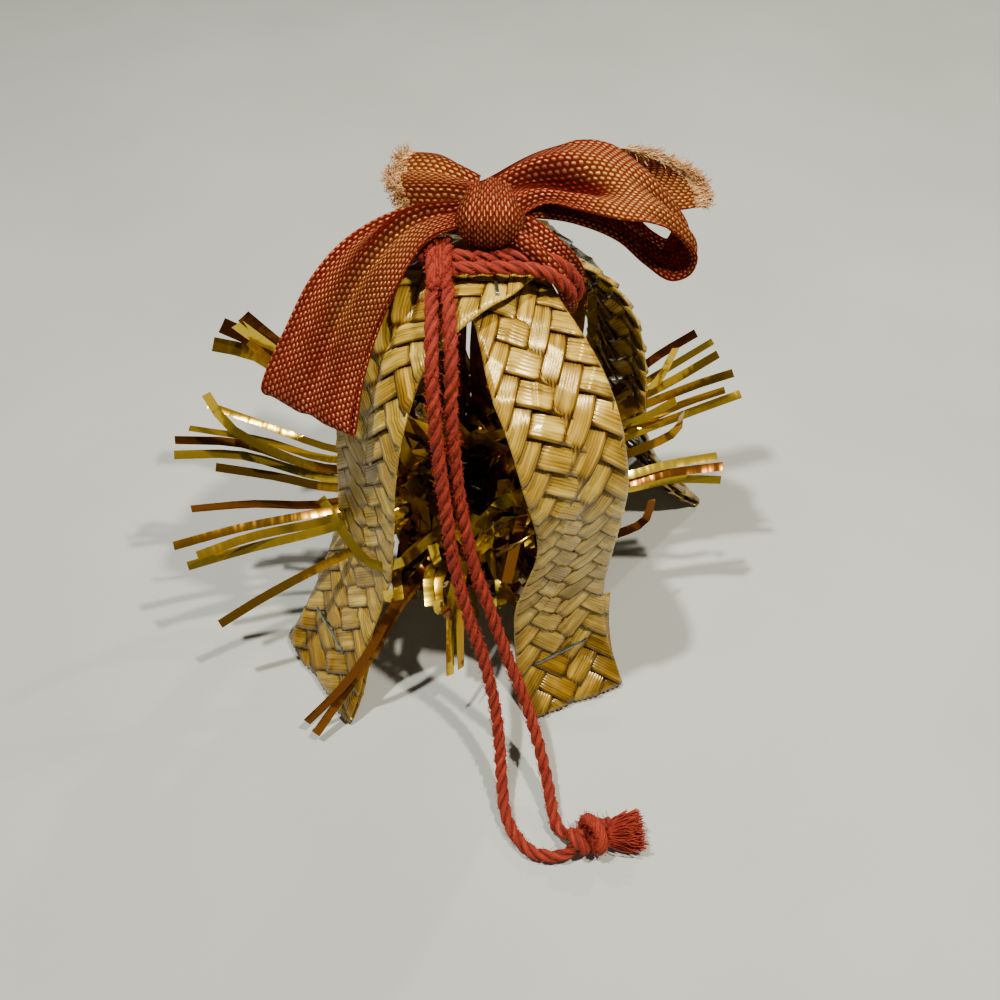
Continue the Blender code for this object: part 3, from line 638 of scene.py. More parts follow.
# Painted shade where a splint dives under the next and along its outer sides: how dark, over what
# reach
DIVE_SHADE, DIVE_REACH = 0.8, 0.5
SIDE_SHADE, SIDE_START = 0.45, 0.84
# Each splint's straw pattern starts elsewhere, this far on along and across
NEXT_ALONG, NEXT_ACROSS = 37.0, 11.0
ALONG = 76
ACROSS = 6
# At each foot the band turns up inside and is stapled: the turn's radius and the foot's height,
# and the flap's length, how much narrower it is and how it leans
TURN_RADIUS = 0.78
TURN_HEIGHT = 1.9
FLAP_LENGTH = 21.0
FLAP_NARROWER = 0.8
UPPER_FLAPS = (0.02, 0.02)
LOWER_FLAPS = (-0.14, 0.03)


def leg_line(name):
    """Centre line of a leg from the crown down; its upper part leans over to the crossing."""
    azimuth, profile = LEGS[name]
    out = heading(azimuth)
    low, high = CROSSING_PULL
    points = []
    for reach, height in profile:
        lean = ease((height - low) / (high - low))
        points.append([*(out[:2] * reach + np.array(CROSSING) * lean), height])
    return points


class Band:
    """A band's middle surface: distance along it, place across it and lift above it to a point.

    The line runs up a turned-in flap, round the foot, over the crown and back down to the other
    flap, so that its lift is outwards on the legs and inwards on the flaps."""

    def __init__(self, first, second, crown, flap_lean, bulge=0.0, shear=0.0, spread=0.0,
                 squeeze=0.0):
        points = leg_line(first)[::-1] + [[*CROSSING, crown]] + leg_line(second)
        line = smooth_path(points, BAND_POINTS)
        tangent = unit(np.gradient(line, axis=0))
        from_crossing = np.linalg.norm(line[:, :2] - np.array(CROSSING), axis=1)
        along = travelled(line)
        past = along - along[np.argmin(from_crossing)]
        turn = ease(past / TURN_LENGTH + 0.5)[:, None]
        travel = unit(-heading(LEGS[first][0]) * (1 - turn) + heading(LEGS[second][0]) * turn)
        side = np.cross([0.0, 0.0, 1.0], travel)
        side = unit(side - (side * tangent).sum(axis=1, keepdims=True) * tangent)
        normal = unit(np.cross(tangent, side))
        free = ease((from_crossing - PINCH_START) / (PINCH_REACH - PINCH_START))
        fuller = bulge * (1 - free) * ease((BULGE_END - past) / BULGE_FADE)
        width = CROWN_WIDTH + (BAND_WIDTH - CROWN_WIDTH) * free + fuller
        low_down = ease(1 - line[:, 2] / FOLD_LENGTH)
        width += FOOT_FLARE * low_down
        spread = spread * low_down * (past < 0)
        half_way = np.exp(-(((line[:, 2] - SQUEEZE_HEIGHT) / SQUEEZE_REACH) ** 2))
        squeeze = squeeze * half_way * (past < 0)
        width += spread - squeeze
        line = line - side * (fuller + spread + squeeze)[:, None] / 2
        standing = np.flatnonzero(line[:, 2] > TURN_HEIGHT)
        rows = slice(standing[0], standing[-1] + 1)
        parts = [line[rows], side[rows], normal[rows], width[rows, None]]
        flaps = [self.flap(parts, end, lean) for end, lean in zip((0, -1), flap_lean)]
        parts = [np.concatenate(three) for three in zip(flaps[0], parts, flaps[1])]
        self.line, self.side, self.normal, self.width = parts
        self.along = travelled(self.line)
        self.length = self.along[-1]
        off_crossing = np.linalg.norm(self.line[:, :2] - np.array(CROSSING), axis=1)
        self.crossing = self.along[np.argmin(off_crossing - self.line[:, 2])]
        self.shear = shear

    @staticmethod
    def flap(parts, end, lean):
        """The turn under a foot and the flap above it, for each of the band's four arrays."""
        line, side, normal, width = parts
        order = 1 if end == 0 else -1
        legs = travelled(line if end == 0 else line[::-1])
        reach = int(np.searchsorted(legs, FLAP_LENGTH))
        leg = slice(0, reach) if end == 0 else slice(-reach, None)
        up_leg = [part[leg][::order] for part in (line, side, normal, width)]
        out = unit(up_leg[0][0] - up_leg[0][1])
        bend = np.radians(np.arange(12, 180, 12))[:, None]
        foot, across, face, wide = (part[0] for part in up_leg)
        outwards = face * np.cos(bend) + out * np.sin(bend)
        across, wide = (np.repeat(part[None], len(bend), axis=0) for part in (across, wide))
        turned = (foot + TURN_RADIUS * (outwards - face), across, outwards, wide)
        risen = legs[:reach, None]
        flat = (up_leg[0] - up_leg[2] * 2 * TURN_RADIUS + up_leg[1] * lean * risen,
                up_leg[1], -up_leg[2], up_leg[3] - FLAP_NARROWER)
        return [np.concatenate(both)[::-order] for both in zip(turned, flat)]

    def askew(self, s):
        """How far the plait is sheared along the band, on the first leg below the crossing."""
        past = self.crossing - s
        full, none = ASKEW_REACH
        return self.shear * ease(past / ASKEW_START) * (1 - ease((past - full) / (none - full)))

    def surface(self, s, x, lift):
        """Points at distances s along, with x from -0.5 to 0.5 across, lifted off the middle."""
        s = np.clip(s, 0.0, self.length)
        parts = (self.line, self.side, self.normal, self.width)
        line, side, normal, width = (read_at(part, self.along, s) for part in parts)
        return line + side * (x[..., None] * width) + unit(normal) * lift[..., None]


def splint_profile(t):
    """Over (+1) or under (-1) at t splint widths from the band's edge: each float is an arch."""
    wave = np.sin((t + 0.5) * math.pi / 2)
    return np.sign(wave) * np.abs(wave) ** FLOAT_SQUARENESS


def plaited_band(name, band, node_name, mat):
    """Seven splints plaited on the bias, each folded over at the band's edges."""
    heap = Heap()
    columns = round(band.length / PITCH)
    pitch = band.length / columns
    u = np.linspace(0.0, 1.0, ALONG + 1)[:, None]
    c = np.linspace(-0.5, 0.5, ACROSS + 1)[None, :]
    faces = grid_faces(ALONG + 1, ACROSS + 1)
    for start in range(-SPLINTS, columns):
        rising = start % 2 == 1
        wide = SPLINT_OVERLAP + SPLINT_UNEVENNESS * RANDOM.standard_normal()
        wander = SPLINT_UNEVENNESS * RANDOM.standard_normal()
        tilt = SPLINT_TILT * RANDOM.standard_normal()
        tone = RANDOM.uniform(0.15, 1.0)
        sway = 0.012 * np.sin(9 * u + 3 * start) + wander * (1 - abs(2 * u - 1)) * 0.6
        across = c * wide + sway
        t = -across + SPLINTS * u
        s = (start + t - across) * pitch
        x = (t + across) / SPLINTS - 0.5
        level = splint_profile(t)
        edge = ease(np.minimum(t + across, SPLINTS - t - across) / 0.22)
        bow = SPLINT_CROWN * (1 - (2 * c) ** 2)
        downwards = np.tanh((band.length / 2 - s) / SHINGLE_TURN)
        more, middle, reach = SCALES
        scaly = 1 + more * np.exp(-(((np.abs(s - band.crossing) - middle) / reach) ** 2))
        lift = (level * OVER_LIFT + (tilt + SHINGLE * scaly * downwards) * 2 * c + bow) * edge
        for float_centre in FLOAT_CENTRES:
            at = float_centre + RANDOM.uniform(-0.55, 0.55)
            skew = RANDOM.uniform(-0.5, 0.5) * c
            lift += RANDOM.uniform(*CREASE) * np.exp(-(((t - at - skew) / CREASE_REACH) ** 2))
        # Painted shade where the splint dives under and along its outer sides
        dive = np.exp(-((level / DIVE_REACH) ** 2))
        sides = np.clip((np.abs(2 * c) - SIDE_START) / (1 - SIDE_START), 0, 1)
        depth = np.clip(DIVE_SHADE * dive + SIDE_SHADE * sides, 0, 1) * edge
        x = x * (1 + 0.014 * (1 - edge)) * (1 if rising else -1)
        verts = band.surface(s + band.askew(s) * x * BAND_WIDTH, x, lift)
        verts[..., 2] = np.maximum(verts[..., 2], SPLINT_THICKNESS)
        inside = (s >= 0) & (s <= band.length)
        keep = inside.ravel()[faces].any(axis=1)
        if not keep.any():
            continue
        shown = faces[keep] if rising else faces[keep][:, ::-1]
        mm_along = np.broadcast_to(u * SPLINTS * SPLINT_WIDTH, s.shape) + NEXT_ALONG * start
        mm_across = np.broadcast_to(c * SPLINT_WIDTH, s.shape) + NEXT_ACROSS * start
        heap.add(verts, shown, np.stack([mm_across, mm_along], axis=-1), tone, depth)
    plait = heap.to_object(name, mat)
    apply_modifier(plait, "SOLIDIFY", thickness=SPLINT_THICKNESS * MM, offset=0.0)
    hand_over(plait, node_name)


# ---------------------------------------------------------------- staples
STAPLE_CROWN = 12.7
WIRE_WIDTH = 0.6
WIRE_THICKNESS = 0.42
LEG_DEPTH = 1.5
WIRE_ROUNDING = 0.08
A_LITTLE = 0.1
# The solids keep clear of the straw; the wire itself is pressed down onto it
PRESSED_IN = 0.52


def staple_wire(node_name, outwards, mat):
    """A staple's crown with its two legs bent down into the straw, on the solid's place."""
    solid = np.array([v.co for v in frame["nodes"][node_name].data.vertices])
    middle = (solid.min(axis=0) + solid.max(axis=0)) / 2
    axes = np.linalg.svd(solid - solid.mean(axis=0))[2]
    along, up = axes[0], axes[2] * math.copysign(1.0, axes[2].dot(outwards))
    bpy.ops.object.select_all(action="DESELECT")
    bpy.ops.mesh.primitive_cube_add(size=1)
    wire = bpy.context.object
    wire.name = node_name.replace("staple", "staple_wire")
    wire.scale = (STAPLE_CROWN * MM, WIRE_WIDTH * MM, WIRE_THICKNESS * MM)
    bpy.ops.object.transform_apply(location=False, rotation=False, scale=True)
    bpy.ops.object.mode_set(mode="EDIT")
    corner = (STAPLE_CROWN / 2 - WIRE_THICKNESS) * MM
    for side in (-1, 1):
        bpy.ops.mesh.select_all(action="SELECT")
        bpy.ops.mesh.bisect(plane_co=(side * corner, 0, 0), plane_no=(1, 0, 0))
    edit = bmesh.from_edit_mesh(wire.data)
    for face in edit.faces:
        face.select_set(face.normal.z < -0.9 and abs(face.calc_center_median().x) > corner)
    bmesh.update_edit_mesh(wire.data)
    bpy.ops.mesh.extrude_region_move(TRANSFORM_OT_translate={"value": (0, 0, -LEG_DEPTH * MM)})
    edit = bmesh.from_edit_mesh(wire.data)
    for edge in edit.edges:
        ends = [v.co for v in edge.verts]
        outer = all(abs(c.x) > corner + A_LITTLE * MM and c.z > 0 for c in ends)
        edge.select_set(outer and abs(ends[0].y - ends[1].y) > A_LITTLE * MM)
    bmesh.update_edit_mesh(wire.data)
    bpy.ops.mesh.bevel(offset=WIRE_THICKNESS * 0.8 * MM, segments=4, affect="EDGES")
    bpy.ops.mesh.select_all(action="SELECT")
    bpy.ops.object.mode_set(mode="OBJECT")
    apply_modifier(wire, "BEVEL", width=WIRE_ROUNDING * MM, segments=2, limit_method="ANGLE",
                   angle_limit=math.radians(50))
    turn = Matrix((along, np.cross(up, along), up)).transposed().to_4x4()
    wire.data.transform(Matrix.Translation(middle - up * PRESSED_IN * MM) @ turn)
    bpy.ops.object.shade_smooth_by_angle(angle=math.radians(40))
    wire.data.materials.append(mat)
    hand_over(wire, node_name)


# ---------------------------------------------------------------- foil garland
RING_RADIUS = 15.0
RING_HEIGHT = 37.0
RING_BAND = 8.0
RING_TWISTS = 5
FOIL_WIDTH = 1.9
FOIL_STEPS = 13
# Strips that stand out between the legs, from the tip inwards to where they leave the tangle
LEFT_STRIPS = [
    [(-61.5, -1, 56), (-51.3, -0.8, 50), (-36.8, -1.5, 43)],
    [(-66.4, -2, 50), (-52, -1.6, 46), (-37.8, -3.5, 42)],
    [(-70, -2.6, 47), (-56.8, -1.6, 45), (-38.8, -5.2, 41)],
    [(-70.6, -4.1, 44), (-57.3, -2.3, 42), (-38.9, -6.2, 39)],
    [(-62.6, -4, 40), (-49.8, -5.7, 39), (-36.7, -8.2, 38)],
    [(-67.2, -12.4, 36), (-54.9, -11, 36), (-37.5, -11.6, 37)],
    [(-70.5, -19.3, 32), (-56.6, -16, 34), (-37.3, -13.5, 37)],
    [(-67.2, -23.1, 30), (-53.9, -20.6, 33), (-37, -17.6, 36)],
    [(-63.5, -24.9, 36), (-53.4, -20, 36), (-37.2, -15.4, 36)],
    [(-61.1, -31.1, 20), (-51.7, -27.8, 25), (-39.7, -23.6, 30)],
    [(-60.6, -2.1, 60), (-57, -5, 54), (-51, -5.3, 48), (-37.9, -4.8, 40)],
]
# Those behind the bow are slit wider
WIDE_STRIPS = [
    [(-56.3, 19.7, 62), (-51.7, 21.2, 54), (-44, 20, 46)],
    [(-58, 19.5, 60), (-51.9, 20.2, 52), (-44, 19, 44)],
    [(-61.2, 19.1, 60), (-54.7, 20.5, 54), (-44, 18, 46)],
    [(-64.1, 18.7, 55), (-55.9, 20, 51), (-45, 17, 44)],
    [(-56.2, 20, 55), (-52, 18.4, 50), (-44, 15, 44)],
]
# Strips that stand up inside the cage, seen through its front opening
INNER_STRIPS = [
    [(-9.2, 13.6, 68), (-9.8, 13.2, 56), (-10, 12, 44)],
    [(-5.4, 14.0, 70), (-6.2, 13.8, 56), (-6, 12, 43)],
    [(-1.6, 14.2, 66), (-2.4, 13.6, 54), (-2, 12, 43)],
    [(1.8, 13.2, 62), (1.2, 12.8, 50), (2, 12, 42)],
    [(-12.6, 12.6, 64), (-13, 12.2, 52), (-13, 10, 42)],
    [(15.4, 17.6, 74), (15.2, 17.2, 60), (13, 13, 44)],
    [(17.6, 16.0, 72), (18.2, 15.4, 58), (15, 11, 43)],
    [(13.0, 19.0, 70), (12.8, 18.4, 58), (11, 14, 43)],
]
RIGHT_STRIPS = [
    [(40, 14.2, 62), (31.9, 13.1, 56), (22, 11, 46)],
    [(43.8, 13.9, 60), (34.2, 11.5, 54), (22, 9.5, 45)],
    [(45, 12.1, 58), (35.1, 8.8, 53), (22, 8, 44)],
    [(48, 8.4, 56), (39.4, 8.3, 52), (22, 5.7, 43)],
    [(46.8, 7.4, 52), (37.7, 6.9, 48), (22, 2.7, 42)],
    [(50, 6.2, 52), (39.9, 5.7, 47), (22, 1.6, 41)],
    [(35.2, 9.5, 62), (32.8, 9, 54), (29.2, 8.4, 48), (22, 7, 40)],
    [(36, 4.3, 52), (30, 4.2, 47), (22.9, 5.2, 42)],
    [(36.3, -1.5, 54), (35.9, -0.2, 47), (30.9, -1.2, 44), (21.8, 0, 38)],
    [(45.4, -2.6, 42), (35.2, -4, 41), (22, -5.4, 38)],
    [(46.6, -4.6, 41), (36.3, -5.4, 40), (22, -6.2, 37)],
    [(46.4, -5.9, 38), (36.5, -5.7, 38), (22, -6.5, 36)],
    [(31.4, -9.9, 36), (30.3, -11.4, 31), (26.7, -12.6, 29), (20.4, -14.5, 30)],
]
FRONT_STRIPS = [
    [(-43.1, -45.8, 4), (-35.7, -41.3, 10), (-28.5, -37.5, 20), (-22.3, -31.7, 30)],
    [(-41, -48.1, 3), (-34.7, -41.3, 9), (-27.8, -37.4, 19), (-21.5, -31.5, 29)],
    [(-11.9, -40, 14), (-11.7, -36.3, 22), (-11.1, -31, 31)],
    [(-9.6, -38.9, 15), (-9.6, -35.7, 23), (-9.5, -30.5, 31)],
    [(10.8, -26.5, 20), (6.1, -25.1, 27), (0.4, -21.4, 34)],
    [(3, -28.3, 22), (-0.7, -26.5, 28), (-3.8, -22.9, 35)],
]
# Strips that turn towards the front and catch the light, with a painted bright tone too
BRIGHT_STRIPS = [
    [(-39.5, -10.6, 37.5), (-36.8, -14.5, 36.6), (-33.8, -18.9, 35.3), (-30.7, -23.3, 35.2),
     (-27.3, -27.5, 36.7), (-22.5, -29, 38)],
    [(-24, -32, 34), (-23.9, -32.2, 31), (-22, -29, 28)],
    [(-14, -33.8, 33), (-13.6, -34.2, 29.5), (-12.5, -30, 27)],
    [(-12.2, -34.6, 32), (-11.8, -35, 28.6), (-10.5, -30, 26.5)],
    [(-1.9, -28.9, 27), (-1.5, -29.3, 24), (-1, -25, 22)],
    [(-4, -22, 42), (-6, -24, 36), (-5, -19, 31)],
    [(5, -20, 45), (7.5, -21, 39), (5, -17, 33)],
    [(9.5, -17, 46), (9.5, -19, 40), (7, -15, 34)],
    [(-15, -25, 40), (-14, -26, 35), (-13, -20, 31)],
]
# Tips that lie towards the left lamp: the last few millimetres of strips that run to the front
GLINT_TIPS = [(-16.6, -19.7, 38), (-13.7, -22.9, 36), (-5.2, -25, 34), (-0.3, -18.2, 42),
              (2.8, -20, 41), (4.8, -24.4, 38), (-21.9, -32.4, 31), (-15.6, -33.2, 30),
              (-13.6, -34, 29), (-0.9, -31.3, 28)]
GLINT_FACE = (-0.14, -0.36, 0.92)
GLINT_RUN = np.array([0.05, -0.93, -0.36])
GLINT_LENGTH = 7.0
# The hidden side's fan: its middle and half spread, reach, lowest and highest tip, and count
BACK_FAN = (176.0, 36.0, 42.0, 24.0, 66.0, 34)
BACK_GATE = 28.0
# Which way strips face: upwards, towards the front, and on the hidden side
FACE_UP = (0.1, -0.45, 0.88)
FACE_FRONT = (0.1, -0.75, 0.65)
FACE_BRIGHT = (0.12, -0.75, 0.65)
FACE_BACK = (0, 0.3, 0.9)
TANGLE_STRIPS = 190
HANGING_STRIPS = 110
BUNDLE_STRIPS = 54
# Between which places a strip of the bundle bends and ends
BUNDLE_BEND = ((-23, -12), (-20, -8), (27, 36))
BUNDLE_END = ((-22.5, -9), (-27, -12), (20, 30))
# Painted reflection on the foil: a shade above 1 makes most strips dark and leaves a few bright
# ones, and below 1 the reverse
TANGLE_SHADE = 1.9
BRIGHT_SHADE = 0.2
CORE_TONE = 0.3
FILM_CUP = 0.06
FILM_THICKNESS = 0.05


def between(*ranges):
    """A random point with one coordinate in each range."""
    return np.array([RANDOM.uniform(low, high) for low, high in ranges])


def foil_strip(heap, path, facing, turn=0.0, fold=0.0, width=FOIL_WIDTH, shade=1.0):
    """A slit strip of film along a path; its face looks the given way, then turns along it."""
    path = smooth_path(path, FOIL_STEPS)
    run = unit(np.gradient(path, axis=0))
    wide = unit(np.cross(run, np.asarray(facing, float)))
    flat = np.cross(wide, run)
    spin = np.linspace(turn, turn + fold, len(path))[:, None]
    across = wide * np.cos(spin) + flat * np.sin(spin)
    flat = np.cross(across, run)
    w = np.linspace(-0.5, 0.5, 3)
    cup = FILM_CUP * (1 - (2 * w[None, :, None]) ** 2)
    verts = path[:, None] + across[:, None] * w[None, :, None] * width + flat[:, None] * cup
    uv = grid_uv(w * width, travelled(path) + RANDOM.uniform(0, 500))
    # The tone, raised to the power shade, is painted reflection: dark where a strip would mirror
    # the dark inside, bright as a glint
    heap.add(verts, grid_faces(len(path), 3), uv, 0.1 + 0.85 * RANDOM.uniform(0, 1) ** shade)


def ring_point(towards, wander=3.0):
    """A place on the garland's core on the side of a point, in millimetres."""
    azimuth = math.degrees(math.atan2(towards[0], -towards[1])) + RANDOM.uniform(-14, 14)
    off = RANDOM.uniform(-wander, wander, 2)
    return heading(azimuth) * (RING_RADIUS + off[0]) + (0, 0, RING_HEIGHT + off[1])


def standing_strips(heap):
    """The long strips that fan out of the cage between its legs, and those that stand inside."""
    for route in LEFT_STRIPS + RIGHT_STRIPS + FRONT_STRIPS:
        foil_strip(heap, [ring_point(route[-1])] + route[::-1], FACE_UP,
                   turn=RANDOM.normal(0, 0.18), fold=RANDOM.normal(0, 0.35))
    for route in WIDE_STRIPS + INNER_STRIPS:
        foil_strip(heap, [ring_point(route[-1])] + route[::-1], FACE_FRONT,
                   turn=RANDOM.normal(0, 0.25), fold=RANDOM.normal(0, 0.35),
                   width=FOIL_WIDTH * RANDOM.uniform(1.3, 1.9))
    for route in BRIGHT_STRIPS:
        foil_strip(heap, [ring_point(route[-1])] + route[::-1], FACE_BRIGHT,
                   turn=RANDOM.normal(0, 0.08), width=FOIL_WIDTH * 1.05, shade=BRIGHT_SHADE)
    middle, half, reach, low, high, count = BACK_FAN
    for k in range(count):
        out = heading(middle + half * (-1 + 2 * (k + 0.5) / count))
        level = ((k * 7) % count + 0.5) / count
        tip = out * reach * RANDOM.uniform(0.82, 1.0) + (0, 0, low + (high - low) * level)
        gate = out * BACK_GATE + (0, 0, RING_HEIGHT + 0.4 * (tip[2] - RING_HEIGHT))
        foil_strip(heap, [ring_point(gate), gate, tip], FACE_BACK, turn=RANDOM.normal(0, 0.4),
                   fold=RANDOM.normal(0, 0.6))


def core_band(heap):
    """The uncut edge of the fringe: a band of film twisted round the ring."""
    azimuth = np.arange(0, 360, 3.0)
    out, a = heading(azimuth), np.radians(azimuth)[:, None]
    path = out * RING_RADIUS + np.array([0, 0, RING_HEIGHT])
    lean = a * RING_TWISTS + 0.8 * np.sin(a * 3)
    wide = out * np.cos(lean) + np.array([0, 0, 1.0]) * np.sin(lean)
    w = np.linspace(-0.5, 0.5, 5) * RING_BAND
    verts = path[:, None] + wide[:, None] * w[None, :, None]
    heap.add(verts, grid_faces(len(path), len(w), wrap_rows=True), grid_uv(w, travelled(path)),
             CORE_TONE)


def curled_strip(heap, path, narrow, broad):
    """A strip of the tangle, facing anywhere."""
    foil_strip(heap, path, RANDOM.normal(0, 1, 3), fold=RANDOM.normal(0, 0.5),
               width=FOIL_WIDTH * RANDOM.uniform(narrow, broad), shade=TANGLE_SHADE)


def tangle(heap):
    """Strips that curl inside the ring and under it, and some that cross its middle."""
    for k in range(TANGLE_STRIPS):
        azimuth = 360 * k / TANGLE_STRIPS + RANDOM.uniform(-6, 6)
        start = heading(azimuth) * (RING_RADIUS + RANDOM.uniform(-3, 3))
        start = start + (0, 0, RING_HEIGHT + RANDOM.uniform(-4, 4))
        swing = RANDOM.uniform(15, 70) * RANDOM.choice([-1, 1])
        crosses = k % 3 == 0
        reach = RANDOM.uniform(2, 9) if crosses else RANDOM.uniform(17, 25)
        middle = heading(azimuth + swing / 2) * reach
        middle = middle + (0, 0, RING_HEIGHT + RANDOM.uniform(-8, 9))
        far = RANDOM.uniform(6, 18) if crosses else RANDOM.uniform(20, 28)
        beyond = azimuth + (180 + swing if crosses else swing)
        end = heading(beyond) * far + (0, 0, RING_HEIGHT + RANDOM.uniform(-15, 13))
        curled_strip(heap, [start, middle, end], 0.9, 1.7)
    # More of them hang down towards the front opening
    for k in range(HANGING_STRIPS):
        azimuth = RANDOM.uniform(-62, 44)
        start = heading(azimuth) * RING_RADIUS + (0, 0, RING_HEIGHT - 3)
        middle = heading(azimuth + RANDOM.uniform(-25, 25)) * RANDOM.uniform(12, 26)
        end = heading(azimuth + RANDOM.uniform(-40, 40)) * RANDOM.uniform(10, 25)
        middle = middle + (0, 0, RANDOM.uniform(21, 33))
        end = end + (0, 0, RANDOM.uniform(10, 26))
        curled_strip(heap, [start, middle, end], 0.9, 1.5)
    # A bundle of them fills the left of that opening
    for k in range(BUNDLE_STRIPS):
        start = heading(RANDOM.uniform(-70, -20)) * RING_RADIUS + (0, 0, RING_HEIGHT - 2)
        curled_strip(heap, [start, between(*BUNDLE_BEND), between(*BUNDLE_END)], 1.1, 1.7)


def glinting_tips(heap):
    """Strips that run to the front and end with their face towards the left lamp."""
    for tip in GLINT_TIPS:
        bend = np.array(tip) - GLINT_RUN * GLINT_LENGTH
        foil_strip(heap, [ring_point(tip), bend, tip], GLINT_FACE, turn=RANDOM.normal(0, 0.1),
                   width=FOIL_WIDTH * 1.1, shade=BRIGHT_SHADE)


def foil_garland(mat):
    heap = Heap()
    for add_strips in (core_band, standing_strips, tangle, glinting_tips):
        add_strips(heap)
    garland = heap.to_object("foil_fringe", mat)
    apply_modifier(garland, "SOLIDIFY", thickness=FILM_THICKNESS * MM, offset=0.0)
    bpy.ops.object.shade_smooth_by_angle(angle=math.radians(50))
    hand_over(garland, "foil_garland")


# ---------------------------------------------------------------- ribbon bow
RIBBON_WIDTH = 19.0
RIBBON_THICKNESS = 0.32
LEFT_LOOP = [
    ((-6.6, 1.0, 98.8), (-7.0, 7.4, 99.4)),
    ((-14.0, -3.4, 98.0), (-18.6, 5.6, 99.6)),
    ((-19.2, -9.4, 93.2), (-27.6, 0.4, 96.6)),
    ((-23.6, -13.8, 85.8), (-34.2, -5.4, 91.6)),
    ((-25.8, -17.6, 80.2), (-38.4, -10.6, 86.0)),
    ((-27.9, -25.3, 72.8), (-44.2, -17.2, 75.6)),
    ((-27.2, -25.0, 71.6), (-43.0, -16.6, 74.0)),
    ((-25.0, -16.9, 78.8), (-35.8, -11.2, 82.9)),
    ((-22.6, -12.6, 84.4), (-31.2, -6.4, 88.4)),
    ((-18.4, -8.2, 91.6), (-25.2, -0.4, 93.7)),
    ((-13.6, -2.8, 96.8), (-16.2, 5.0, 97.6)),
    ((-6.6, 1.6, 97.2), (-7.0, 7.4, 97.6)),
]
RIGHT_LOOP = [
    ((1.2, 2.7, 97.6), (-7.1, 14.3, 98.6)),
    ((6.7, 5.8, 98.8), (0.5, 17.0, 101.0)),
    ((12.7, 3.6, 98.8), (8.2, 18.7, 102.6)),
    ((19.0, 1.0, 98.8), (16.6, 19.8, 102.8)),
    ((25.6, 1.4, 97.8), (24.4, 18.2, 99.9)),
    ((31.0, 2.4, 94.6), (29.6, 17.0, 93.8)),
    ((34.8, 3.2, 89.2), (33.2, 17.0, 87.4)),
    ((33.9, 3.0, 85.4), (31.6, 16.7, 82.7)),
    ((30.4, 2.9, 84.2), (27.8, 16.4, 84.6)),
    ((25.6, 5.2, 86.2), (22.8, 18.0, 88.4)),
    ((20.4, 7.4, 89.8), (17.0, 18.2, 91.6)),
    ((12.6, 7.4, 93.4), (9.6, 15.4, 94.0)),
    ((6.0, 6.0, 95.6), (4.4, 11.6, 96.4)),
    ((0.0, 4.5, 96.6), (-1.0, 9.5, 97.4)),
]
LEFT_TAIL = [
    ((-5.2, 4.0, 98.2), (-5.0, 8.6, 100.4), (-5.0, 13.6, 98.2)),
    ((-9.4, 4.6, 98.0), (-10.0, 9.6, 101.6), (-9.0, 16.2, 99.4)),
    ((-13.0, 5.2, 97.8), (-14.4, 10.4, 101.8), (-12.4, 18.6, 100.0)),
    ((-17.8, 6.6, 97.4), (-20.4, 12.0, 100.6), (-17.6, 20.6, 99.4)),
]
# Cut on a slant: the near edge runs on past the far one
RIGHT_TAIL = [
    ((-1.0, 9.0, 97.0), (-1.8, 10.6, 98.0), (-2.6, 12.4, 98.2)),
    ((8.5, 18.2, 95.0), (6.2, 20.0, 97.4), (4.0, 21.5, 98.4)),
    ((18.2, 20.2, 91.0), (14.0, 22.6, 95.6), (9.5, 23.5, 98.4)),
    ((28.2, 21.3, 87.4), (22.4, 24.4, 93.6), (14.0, 24.4, 98.6)),
    ((34.0, 22.4, 86.4), (29.0, 25.8, 92.8), (18.0, 24.4, 99.0)),
    ((38.4, 24.1, 86.0), (34.5, 26.9, 92.0), (21.7, 23.8, 99.0)),
]
# Folds along a ribbon: height, distance from its start, reach along it, place across, reach across
LEFT_FOLDS = [(2.4, 9, 13, 0.98, 0.26), (-1.2, 12, 13, 0.62, 0.16), (0.7, 10, 9, 0.30, 0.16)]
RIGHT_FOLDS = [(-3.6, 14, 7, 0.42, 0.15), (1.6, 16, 9, 0.72, 0.16), (1.4, 15, 8, 0.14, 0.12),
               (-1.8, 4, 6, 0.90, 0.16)]
# Painted light through the cloth, how far it tints a ribbon gold: share, from and to along it,
# place and reach across it
LEFT_PAINTED_LIGHT = (0.6, 8, 34, 0.40, 0.30)
RIGHT_PAINTED_LIGHT = (0.75, 17, 44, 0.35, 0.60)
TAIL_PAINTED_LIGHT = (0.8, 2, 80, 0.5, 2.0)
# The right loop's inner part starts this far along it and gets this much painted shade
RIGHT_INNER = 46.5
INNER_SHADE = 0.35
# Pleats across a ribbon: share of its spare width, waves, and where the first wave starts
LEFT_PLEATS = [(0.75, 2.5, 0.1), (0.45, 4.2, 0.3)]
RIGHT_PLEATS = [(0.75, 2.2, 0.55), (0.45, 4.4, 0.2)]
TAIL_PLEATS = [(0.75, 1.6, 0.2), (0.45, 3.3, 0.0)]
# The threads of each tail's cut end: how many, how long, and how they curl
LEFT_FRAY = (900, 3.0, 0.75)
RIGHT_FRAY = (1200, 3.6, 0.22)
KNOT_CENTRE = (-3.2, 3.7, 98.3)
KNOT_SIZE = (10.8, 13.6, 9.6)
KNOT_SQUARENESS = 2.6
NECK_WRAP = [(-3.0, 3.0, 96.4), (2.4, 1.0, 96.2), (6.6, -1.2, 93.9), (9.8, -1.9, 90.3),
             (11.8, -1.2, 86.2), (12.2, 1.0, 81.6), (9.6, 2.6, 78.2), (2.0, 3.6, 77.2),
             (-11.0, 3.8, 77.0), (-22.2, 4.2, 79.6), (-25.8, 4.4, 87.0), (-22.0, 4.6, 93.2),
             (-12.0, 4.8, 96.4)]
